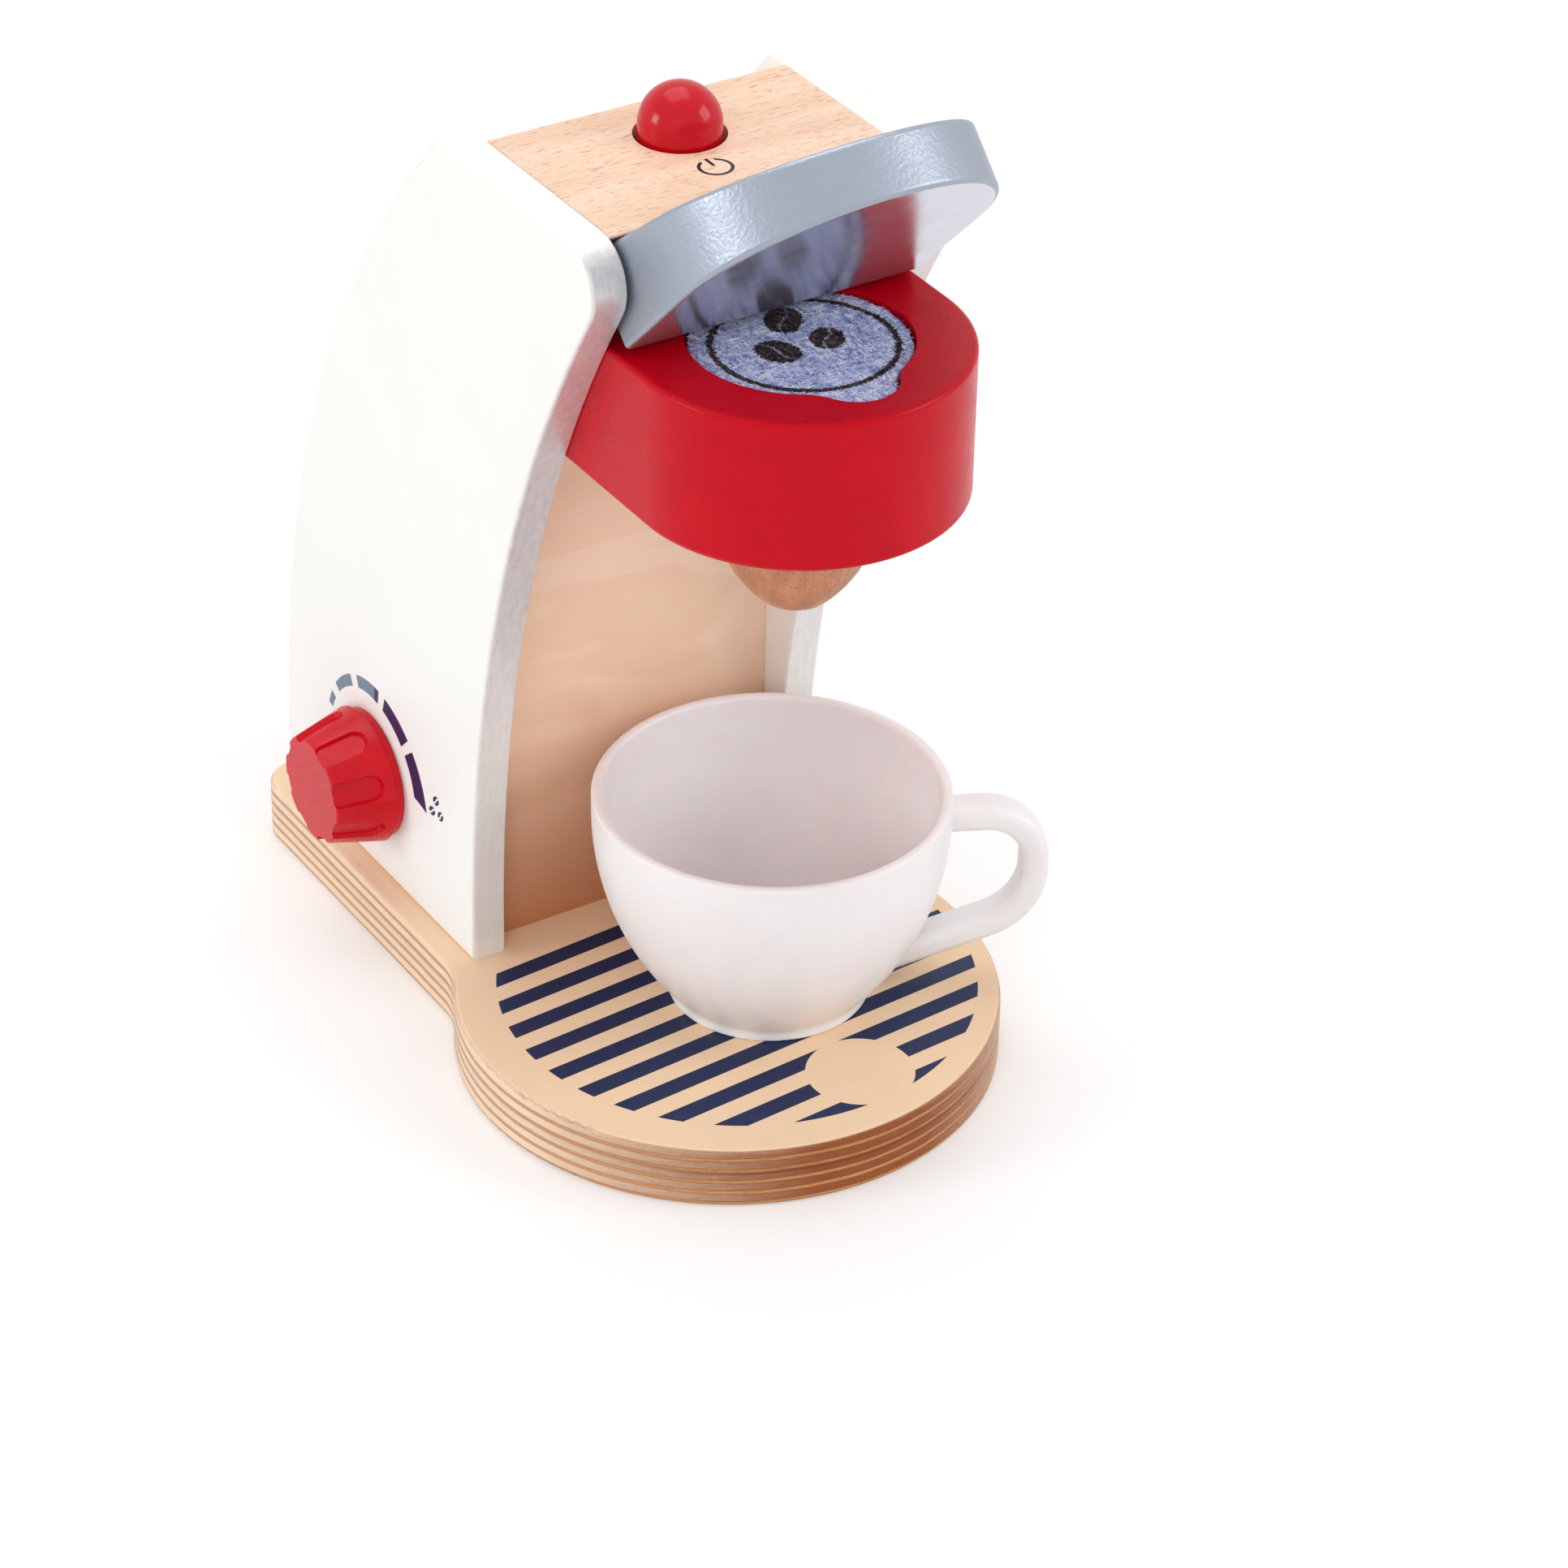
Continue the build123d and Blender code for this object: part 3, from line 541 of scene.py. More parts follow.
@dataclass(frozen=True)
class PadPrint(Print):
    """Ring and three beans printed on the felt, with edges that the fibres break up."""

    centre: Pair = (0.2 * MM, -25.2 * MM)
    radius: float = 19.3 * MM
    stroke: float = 1.5 * MM
    fray_size: float = 0.7 * MM
    fray_reach: float = 2.4 * MM
    gap_size: float = 0.45 * MM
    beans: tuple[Bean, ...] = (
        Bean((-6.1 * MM, -25.2 * MM), 10.6 * MM, 8.4 * MM, -66.0, 0.22 * MM),
        Bean((5.7 * MM, -25.2 * MM), 9.2 * MM, 7.4 * MM, 58.0, 0.22 * MM),
        Bean((2.0 * MM, -14.2 * MM), 11.4 * MM, 8.2 * MM, 57.0, 0.22 * MM),
    )

    def mask(self, graph: NodeGraph) -> Value:
        """Mask of the print on the top of the felt.

        Args:
            graph: The material's nodes.

        Returns:
            The mask.
        """
        x, y, _ = graph.axes(graph.place)
        pulled = (graph.noise(self.fray_size, 3.0, 0.7) - 0.5) * self.fray_reach
        loose = (x + pulled, y - pulled)
        own = graph.turned(loose, self.centre)
        ring = graph.ring(own, self.radius, self.stroke, self.soft)
        beans = [bean.mask(graph, loose, self.soft) for bean in self.beans]
        kept = graph.ramp(graph.noise(self.gap_size, 3.0, 0.6), 0.28, 0.36)
        return graph.either(ring, *beans) * kept


@dataclass(frozen=True)
class Finish:
    """A finish that makes a material of its own name."""

    name: str

    def graph(self) -> NodeGraph:
        """The nodes of the new material."""
        return NodeGraph(bpy.data.materials.new(self.name))

    def build(self) -> bpy.types.Material:
        """Makes the material."""
        raise NotImplementedError


@dataclass(frozen=True)
class Timber(Finish):
    """Plain solid wood under thin varnish: soft bands, fine streaks and short dark flecks."""

    pale: Colour
    deep: Colour
    fleck: Colour
    grain: Grain
    band: float = 9.0 * MM
    band_stretch: float = 12.0
    band_share: float = 0.62
    streak: float = 0.5 * MM
    streak_stretch: float = 26.0
    fleck_width: float = 0.26 * MM
    fleck_stretch: float = 11.0
    fleck_share: float = 0.75
    fibre: float = 0.3 * MM
    fibre_stretch: float = 25.0
    fibre_depth: float = 0.02 * MM
    pore_depth: float = 0.03 * MM
    patch: float = 3.0 * MM
    sheen: float = 0.42
    printed: Print | None = None

    def drawn(self, graph: NodeGraph, stretch: float, size: float, *layers: float) -> Value:
        """Noise of this size and these layers, drawn out along the grain."""
        return graph.noise(size, *layers, at=graph.squeezed(self.grain.squeeze(stretch)))

    def bare(self, graph: NodeGraph) -> Value:
        """Colour of the bare wood.

        Args:
            graph: The material's nodes.

        Returns:
            The colour.
        """
        bands = self.drawn(graph, self.band_stretch, self.band, 2.0, 0.5, 0.8)
        streaks = self.drawn(graph, self.streak_stretch, self.streak, 3.0, 0.6)
        tone = bands * self.band_share + streaks * (1.0 - self.band_share)
        return graph.mixed(graph.ramp(tone, 0.36, 0.64, True), self.pale, self.deep)

    def build(self) -> bpy.types.Material:
        """Makes the material.

        Returns:
            The material.
        """
        graph = self.graph()
        spots = self.drawn(graph, self.fleck_stretch, self.fleck_width, 1.0, 0.4)
        flecks = graph.ramp(spots, 0.63, 0.70)
        colour = graph.mixed(flecks * self.fleck_share, self.bare(graph), self.fleck)
        if self.printed is not None:
            colour = self.printed.over(graph, colour)
        fibres = self.drawn(graph, self.fibre_stretch, self.fibre, 2.0)
        planed = graph.bumped(fibres, self.fibre_depth)
        return graph.finish(
            Base_Color=colour, Specular_IOR_Level=0.3,
            Roughness=graph.patchy(self.patch, 3.0, self.sheen - 0.05, self.sheen + 0.07),
            Normal=graph.bumped(1.0 - flecks, self.pore_depth, 0.7, planed))


@dataclass(frozen=True)
class Veneer:
    """Rotary-cut birch veneer: soft stepped flames over faint long streaks."""

    pale: Colour
    deep: Colour
    grain: Grain
    figure: float = 34.0 * MM
    step_share: float = 0.06
    # Painted shade at the board's foot, standing in for the shade of the cup and panels: its colour,
    # the heights where it is strongest and where it has faded out, and its share.
    foot: Colour | None = None
    painted_shade_low: float = 15.0 * MM
    painted_shade_high: float = 78.0 * MM
    painted_shade_share: float = 0.85
    steps: float = 2.0
    figure_stretch: float = 3.0
    fine: float = 0.42 * MM
    fine_stretch: float = 14.0
    fine_share: float = 0.34

    def colour(self, graph: NodeGraph) -> Value:
        """Colour of the veneer, with painted shade that deepens it towards the board's foot if it
        has a foot colour.

        Args:
            graph: The material's nodes.

        Returns:
            The colour.
        """
        wide, thin = (graph.squeezed(self.grain.squeeze(stretch))
                      for stretch in (self.figure_stretch, self.fine_stretch))
        flame = graph.noise(self.figure, 3.0, 0.5, 0.6, at=wide)
        step = graph.calc("FRACT", flame * self.steps)
        stepped = step * graph.fading(step, 0.93, 1.0)
        streaks = graph.noise(self.fine, 3.0, 0.65, at=thin) * self.fine_share
        tone = graph.calc("MULTIPLY_ADD", stepped, self.step_share, streaks)
        tone = graph.calc("MULTIPLY_ADD", flame, 0.5, tone)
        colour = graph.mixed(graph.ramp(tone, 0.35, 1.0), self.pale, self.deep)
        if self.foot is None:
            return colour
        # Painted shade: mixes in the foot colour, most at the foot and none above the fade height.
        share = graph.ramp(graph.axes(graph.place)[2], self.painted_shade_low, self.painted_shade_high,
                           start=self.painted_shade_share, end=0.0)
        return graph.mixed(share, colour, self.foot)


@dataclass(frozen=True)
class PlyTones:
    """Colours of the plies' cut edges, across and along the board's own grain."""

    end_thick: Colour
    end_thin: Colour
    long_thick: Colour
    long_thin: Colour
    glue: Colour


@dataclass(frozen=True)
class Plywood(Finish):
    """Birch plywood: veneer on its faces, thick and thin plies in turn round its edges."""

    veneer: Veneer
    tones: PlyTones
    stack: Grain
    start: float
    thick_ply: float = 1.97 * MM
    thin_ply: float = 0.95 * MM
    ply_soft: float = 0.035
    dark_seam: float = 8.9 * MM
    dark_width: float = 0.32 * MM
    dark_soft: float = 0.14 * MM
    wave: float = 26.0 * MM
    wander: float = 0.9 * MM
    layer_size: float = 1.7
    edge_fibre: float = 0.32 * MM
    edge_pit: float = 0.3 * MM
    edge_depth: float = 0.06 * MM
    skin: float = 0.6 * MM
    skin_depth: float = 0.012 * MM
    face_turn: Pair = (0.72, 0.93)
    patch: float = 4.0 * MM
    sheen: float = 0.42
    printed: Print | None = None

    def side_share(self, graph: NodeGraph) -> Value:
        """How far an edge shows the outer plies' long grain.

        Args:
            graph: The material's nodes.

        Returns:
            The share, 0 to 1.
        """
        facing = [abs(axis) for axis in graph.axes(graph.facing)]
        stack, grain = (way.value.index(1.0) for way in (self.stack, self.veneer.grain))
        across = 3 - stack - grain
        return graph.ramp(facing[across] - facing[grain], -0.75, 0.75)

    def texture(self, graph: NodeGraph) -> Value:
        """Relief of the cut edges, 0 to 1: fine fibres and pits.

        Args:
            graph: The material's nodes.

        Returns:
            The relief.
        """
        level, short = (graph.squeezed((part, part, 1.0)) for part in (0.07, 0.5))
        fibres = graph.noise(self.edge_fibre, 3.0, 0.65, at=level)
        pits = graph.noise(self.edge_pit, 3.0, 0.7, at=short)
        return graph.calc("MULTIPLY_ADD", pits, 0.45, fibres * 0.55)

    def edge(self, graph: NodeGraph, texture: Value) -> Value:
        """Colour of the board's cut edges.

        Args:
            graph: The material's nodes.
            texture: Their relief.

        Returns:
            The colour.
        """
        period = self.thick_ply + self.thin_ply
        bent = graph.calc("MULTIPLY_ADD", graph.noise(self.wave, 2.0) - 0.5, self.wander,
                          graph.along(graph.place, self.stack.value))
        count = (bent - self.start) / period
        part = graph.calc("FRACT", count)
        thin_from = self.thick_ply / period
        thin = graph.ramp(part, thin_from - self.ply_soft, thin_from + self.ply_soft)
        to_end = graph.calc("MINIMUM", part, 1.0 - part)
        seam = graph.fading(graph.calc("MINIMUM", abs(part - thin_from), to_end), 0.02, 0.09)
        number = graph.node("CombineXYZ", {0: graph.calc("FLOOR", count), 1: 0.5, 2: 0.5})
        layer = graph.noise(self.layer_size, 0.0, at=number)
        shade = graph.ramp(graph.calc("MULTIPLY_ADD", texture, 1.3, layer * 0.5), 0.72, 1.08)
        dark = graph.below(abs(bent - self.dark_seam), self.dark_width, self.dark_soft)
        side = self.side_share(graph)
        plies = graph.mixed(thin, graph.mixed(side, self.tones.end_thick, self.tones.long_thick),
                            graph.mixed(side, self.tones.end_thin, self.tones.long_thin))
        for glued in (shade * graph.between(side, 0.6, 0.2),
                      seam * graph.between(side, 0.5, 0.14),
                      dark * graph.ramp(side, 0.0, 0.7, start=0.85, end=0.1)):
            plies = graph.mixed(glued, plies, self.tones.glue)
        return plies

    def build(self) -> bpy.types.Material:
        """Makes the material.

        Returns:
            The material.
        """
        graph = self.graph()
        facing = abs(graph.along(graph.facing, self.stack.value))
        on_edge = graph.fading(facing, *self.face_turn)
        texture = self.texture(graph)
        colour = graph.mixed(on_edge, self.veneer.colour(graph), self.edge(graph, texture))
        if self.printed is not None:
            colour = self.printed.over(graph, colour)
        cut = graph.bumped(on_edge * texture, self.edge_depth, 0.7)
        return graph.finish(
            Base_Color=colour, Specular_IOR_Level=0.3,
            Roughness=graph.patchy(self.patch, 3.0, self.sheen - 0.05, self.sheen + 0.08),
            Normal=graph.bumped(graph.noise(self.skin, 3.0), self.skin_depth, 1.0, cut))


@dataclass(frozen=True)
class Paint(Finish):
    """Sprayed satin paint on wood: slight orange peel, faint clouds of tone and gloss."""

    colour: Colour
    cloud: Colour
    gloss: float
    specular: float = 0.15
    cloud_size: float = 14.0 * MM
    patch: float = 5.0 * MM
    peel: float = 2.6 * MM
    peel_depth: float = 0.02 * MM

    def build(self) -> bpy.types.Material:
        """Makes the material.

        Returns:
            The material.
        """
        graph = self.graph()
        return graph.finish(
            Base_Color=graph.clouded(self.cloud_size, self.colour, self.cloud),
            Roughness=graph.patchy(self.patch, 3.0, self.gloss - 0.04, self.gloss + 0.05),
            Normal=graph.bumped(graph.noise(self.peel, 1.0), self.peel_depth),
            Specular_IOR_Level=self.specular)


@dataclass(frozen=True)
class PanelPaint(Finish):
    """White satin paint on a side panel, silver round its front edge, with a print if it has one."""

    white: Colour
    warm: Colour
    silver: Colour
    rubbed: Colour
    printed: DialScale | None = None
    early_ink: Colour | None = None
    late_angle: float = 94.5
    # The silver's fade towards the foot is partly painted reflection of the pale base and floor.
    fade_low: float = 20.0 * MM
    fade_high: float = 150.0 * MM
    silver_at_foot: float = 0.45
    metal: float = 0.45
    cloud_size: float = 18.0 * MM
    brush: float = 1.1 * MM
    peel: float = 1.3 * MM
    peel_depth: float = 0.03 * MM

    def silvered(self, graph: NodeGraph) -> Value:
        """Mask of the silver, which thins towards the foot, partly as painted reflection of the pale
        base and floor.

        Args:
            graph: The material's nodes.

        Returns:
            The mask.
        """
        turn_x, turn_y, _ = graph.axes(graph.facing)
        by_height = graph.ramp(graph.axes(graph.place)[2], self.fade_low, self.fade_high, True,
                               self.silver_at_foot, 1.0)
        return (graph.fading(abs(turn_x), 0.62, 0.8) * graph.fading(turn_y, -0.62, -0.2)
                * by_height)

    def build(self) -> bpy.types.Material:
        """Makes the material.

        Returns:
            The material.
        """
        graph = self.graph()
        silvered = self.silvered(graph)
        paint = graph.clouded(self.cloud_size, self.white, self.warm)
        if self.printed is not None:
            late = graph.calc("GREATER_THAN", self.printed.polar(graph)[1], self.late_angle)
            tint = graph.mixed(late, self.early_ink, self.printed.ink)
            paint = graph.mixed(self.printed.mask(graph), paint, tint)
        brushed = graph.noise(self.brush, 3.0, 0.6, at=graph.squeezed((1.0, 1.0, 0.14)))
        rubbed = graph.ramp(brushed, 0.36, 0.62, end=0.42)
        metallic = graph.mixed(rubbed, self.silver, self.rubbed)
        relief = graph.noise(self.peel) + brushed * 0.5
        return graph.finish(
            Base_Color=graph.mixed(silvered, paint, metallic), Metallic=silvered * self.metal,
            Roughness=graph.between(silvered, 0.42, 0.34), Specular_IOR_Level=0.4,
            Normal=graph.bumped(relief, self.peel_depth))


@dataclass(frozen=True)
class LidSilver(Finish):
    """Silver paint with a hammered skin, polished to a mirror on the face towards the pad."""

    silver: Colour
    mirror: Colour
    underside: Triple
    patch: float = 7.0 * MM
    skin: float = 0.95 * MM
    skin_depth: float = 0.10 * MM

    def build(self) -> bpy.types.Material:
        """Makes the material.

        Returns:
            The material.
        """
        graph = self.graph()
        polished = graph.ramp(graph.along(graph.facing, self.underside), 0.955, 0.985, True)
        satin = graph.patchy(self.patch, 3.0, 0.36, 0.44)
        sharper = graph.patchy(self.patch, 3.0, 0.14, 0.22) - satin
        hammered = graph.noise(self.skin, 2.0, 0.45, 0.3) * graph.between(polished, 1.0, 0.03)
        return graph.finish(
            Base_Color=graph.mixed(polished, self.silver, self.mirror), Metallic=0.80,
            Roughness=graph.calc("MULTIPLY_ADD", polished, sharper, satin),
            Normal=graph.bumped(hammered, self.skin_depth))


@dataclass(frozen=True)
class Moulded(Finish):
    """Moulded plastic: satin skin with faint flow marks."""

    colour: Colour
    shade: Colour
    gloss: float
    specular: float = 0.5
    glow: float = 0.0
    glow_reach: float = 2.0 * MM
    flow: float = 20.0 * MM
    patch: float = 2.5 * MM
    skin: float = 0.25 * MM
    skin_depth: float = 0.008 * MM

    def build(self) -> bpy.types.Material:
        """Makes the material.

        Returns:
            The material.
        """
        graph = self.graph()
        flow = graph.ramp(graph.noise(self.flow, 2.0, 0.5, 1.0), 0.3, 0.7, True)
        return graph.finish(
            Base_Color=graph.mixed(flow, self.colour, self.shade),
            Roughness=graph.patchy(self.patch, 4.0, self.gloss - 0.04, self.gloss + 0.06),
            Normal=graph.bumped(graph.noise(self.skin), self.skin_depth),
            Specular_IOR_Level=self.specular,
            Subsurface_Weight=self.glow, Subsurface_Scale=self.glow_reach)


@dataclass(frozen=True)
class Steel(Finish):
    """Drawn or zinc-plated steel with fine turning marks and dull spots."""

    bright: Colour
    dull: Colour
    spot: float = 1.2 * MM
    mark: float = 0.12 * MM
    mark_depth: float = 0.01 * MM

    def build(self) -> bpy.types.Material:
        """Makes the material.

        Returns:
            The material.
        """
        graph = self.graph()
        spots = graph.ramp(graph.noise(self.spot, 4.0, 0.6), 0.4, 0.65)
        marks = graph.noise(self.mark, at=graph.squeezed((0.15, 1.0, 1.0)))
        return graph.finish(Base_Color=graph.mixed(spots, self.bright, self.dull),
                            Roughness=graph.between(spots, 0.24, 0.42),
                            Normal=graph.bumped(marks, self.mark_depth), Metallic=1.0)


@dataclass(frozen=True)
class Felt(Finish):
    """Pressed wool felt: marled fibres under a printed pattern."""

    wool: Colour
    pale_wool: Colour
    dark_wool: Colour
    brown_ink: Colour
    printed: PadPrint
    fibre: float = 0.62 * MM
    ways: tuple[Triple, ...] = ((1.0, 0.2, 1.0), (0.24, 1.0, 1.0))
    tuft: float = 1.4 * MM
    depth: float = 0.30 * MM

    def build(self) -> bpy.types.Material:
        """Makes the material.

        Returns:
            The material.
        """
        graph = self.graph()
        fibres = graph.either(*(graph.noise(self.fibre, 2.0, 0.5, 1.2, at=graph.squeezed(way))
                                for way in self.ways))
        tufts = graph.noise(self.tuft, 4.0, 0.7)
        colour = graph.mixed(graph.ramp(tufts, 0.36, 0.62, True), self.dark_wool, self.wool)
        colour = graph.mixed(graph.ramp(fibres, 0.54, 0.64), colour, self.pale_wool)
        ink = graph.mixed(graph.ramp(fibres, 0.54, 0.66), self.printed.ink, self.brown_ink)
        return graph.finish(
            Base_Color=graph.mixed(self.printed.mask(graph), colour, ink), Roughness=0.95,
            Normal=graph.bumped(fibres + tufts * 0.8, self.depth),
            Specular_IOR_Level=0.1, Sheen_Weight=0.12, Sheen_Roughness=0.5)


@dataclass(frozen=True)
class Finishes:
    """Colours of the machine, and the woods that several of its pieces share."""

    plywood_pale: Colour = screen(247, 216, 182)
    plywood_deep: Colour = screen(234, 198, 158)
    ply_tones: PlyTones = PlyTones(end_thick=screen(160, 88, 38), end_thin=screen(220, 156, 98),
                                   long_thick=screen(255, 228, 198),
                                   long_thin=screen(214, 160, 118), glue=screen(124, 58, 20))
    board_pale: Colour = screen(252, 221, 196)
    board_deep: Colour = screen(242, 200, 168)
    # Painted shade for the boards' foot, where the cup and panels shade them.
    board_foot_painted_shade: Colour = screen(184, 102, 42)
    beech_pale: Colour = screen(250, 218, 193)
    beech_deep: Colour = screen(240, 202, 172)
    beech_fleck: Colour = screen(196, 132, 92)
    # The nozzle's turned beech is darker than the block's, partly as painted shade of the head above
    # it.
    turned_pale_with_shade: Colour = screen(208, 144, 108)
    turned_deep_with_shade: Colour = screen(186, 118, 82)
    turned_fleck: Colour = screen(140, 80, 50)
    navy: Colour = screen(26, 40, 80)
    plum: Colour = screen(36, 35, 80)
    slate: Colour = screen(104, 130, 148)
    sign_ink: Colour = screen(30, 24, 26)
    white: Colour = screen(250, 250, 247)
    warm_white: Colour = screen(249, 248, 245)
    silver: Colour = screen(236, 232, 232)
    rubbed_silver: Colour = screen(206, 201, 201)
    lid_silver: Colour = screen(162, 170, 183)
    mirror: Colour = screen(196, 198, 212)
    red: Colour = screen(203, 0, 26)
    deep_red: Colour = screen(195, 0, 24)
    dial_red: Colour = screen(210, 0, 26)
    dial_deep: Colour = screen(202, 0, 24)
    cup_white: Colour = screen(245, 242, 243)
    cup_shade: Colour = screen(242, 238, 239)
    wool: Colour = screen(190, 200, 240)
    pale_wool: Colour = screen(240, 244, 254)
    dark_wool: Colour = screen(122, 132, 192)
    pad_ink: Colour = screen(16, 10, 16)
    brown_ink: Colour = screen(96, 66, 66)
    zinc: Colour = screen(196, 194, 186)
    dull_zinc: Colour = screen(150, 146, 134)
    pin_steel: Colour = screen(190, 190, 192)
    dull_pin: Colour = screen(150, 150, 152)
    spring_steel: Colour = screen(176, 176, 178)
    dull_spring: Colour = screen(128, 128, 132)
    nylon: Colour = screen(226, 222, 212)
    nylon_shade: Colour = screen(218, 213, 202)
    rubber: Colour = screen(40, 40, 42)
    worn_rubber: Colour = screen(52, 52, 54)

    def board(self, name: str, start: float) -> Finish:
        """Thin board across the machine, whose faces show, whose plies start at this Y and whose
        veneer has painted shade towards its foot.
        """
        veneer = Veneer(self.board_pale, self.board_deep, Grain.ALONG_X, 50.0 * MM, 0.3,
                        self.board_foot_painted_shade)
        return Plywood(name, veneer, self.ply_tones, Grain.ALONG_Y, start, face_turn=(0.2, 0.4))

    def beech(self, name: str, printed: Print | None = None) -> Finish:
        """Pale planed beech with its grain across the machine, and a print if it has one."""
        return Timber(name, self.beech_pale, self.beech_deep, self.beech_fleck, Grain.ALONG_X,
                      printed=printed)


@dataclass
class SubAssembly:
    """A group of the machine's pieces that is built and dressed together."""

    finishes: Finishes

    def dress(self, finish: Finish, *nodes: str) -> None:
        """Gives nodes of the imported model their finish.

        Args:
            finish: The finish, made once for all of them.
            *nodes: Names of the nodes.
        """
        material = finish.build()
        for node in nodes:
            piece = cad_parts[node]
            piece.data.materials.clear()
            piece.data.materials.append(material)
            log.info("%s: %s", node, material.name)

    def build(self) -> None:
        """Builds and dresses the pieces of the group."""
        raise NotImplementedError


@dataclass
class Housing(SubAssembly):
    """Base board, side panels, the boards and the block between them, and their fixings."""

    base_start: float = -1.5 * MM
    front_board_start: float = 43.5 * MM
    back_board_start: float = 119.4 * MM

    def build_base(self) -> None:
        """Dresses the base board with its stripes, and its screws."""
        done = self.finishes
        veneer = Veneer(done.plywood_pale, done.plywood_deep, Grain.ALONG_Y)
        self.dress(Plywood("striped_base_ply", veneer, done.ply_tones, Grain.ALONG_Z,
                           self.base_start, printed=StandStripes(done.navy)), "base_board")
        self.dress(Steel("zinc_screws", done.zinc, done.dull_zinc), "base_screws")

    def build_panels(self) -> None:
        """Dresses the side panels, the left one with the dial's scale."""
        done = self.finishes
        paints = (done.white, done.warm_white, done.silver, done.rubbed_silver)
        self.dress(PanelPaint("panel_paint_with_scale", *paints, DialScale(done.plum),
                              done.slate), "left_side_panel")
        self.dress(PanelPaint("panel_paint", *paints), "right_side_panel")

    def build_between(self) -> None:
        """Dresses the boards, the block and the dowels between the panels."""
        done = self.finishes
        self.dress(done.board("front_board_ply", self.front_board_start), "front_board")
        self.dress(done.board("back_board_ply", self.back_board_start), "back_board")
        self.dress(done.beech("beech_block", PowerSign(done.sign_ink)), "top_block")
        self.dress(done.beech("beech_dowels"), "frame_dowels")

    def build(self) -> None:
        """Dresses the housing."""
        self.build_base()
        self.build_panels()
        self.build_between()


@dataclass(frozen=True)
class Disc:
    """A round patch of felt."""

    x: float
    y: float
    radius: float

    def holds(self, x: float, y: float, margin: float) -> bool:
        """Whether a point lies in the disc, this far or more from its rim."""
        return math.hypot(x - self.x, y - self.y) <= self.radius - margin

    def spot(self, angle: float, distance: float, height: float) -> Vector:
        """The point at this angle, distance from the middle and height."""
        return Vector((self.x + math.cos(angle) * distance,
                       self.y + math.sin(angle) * distance, height))


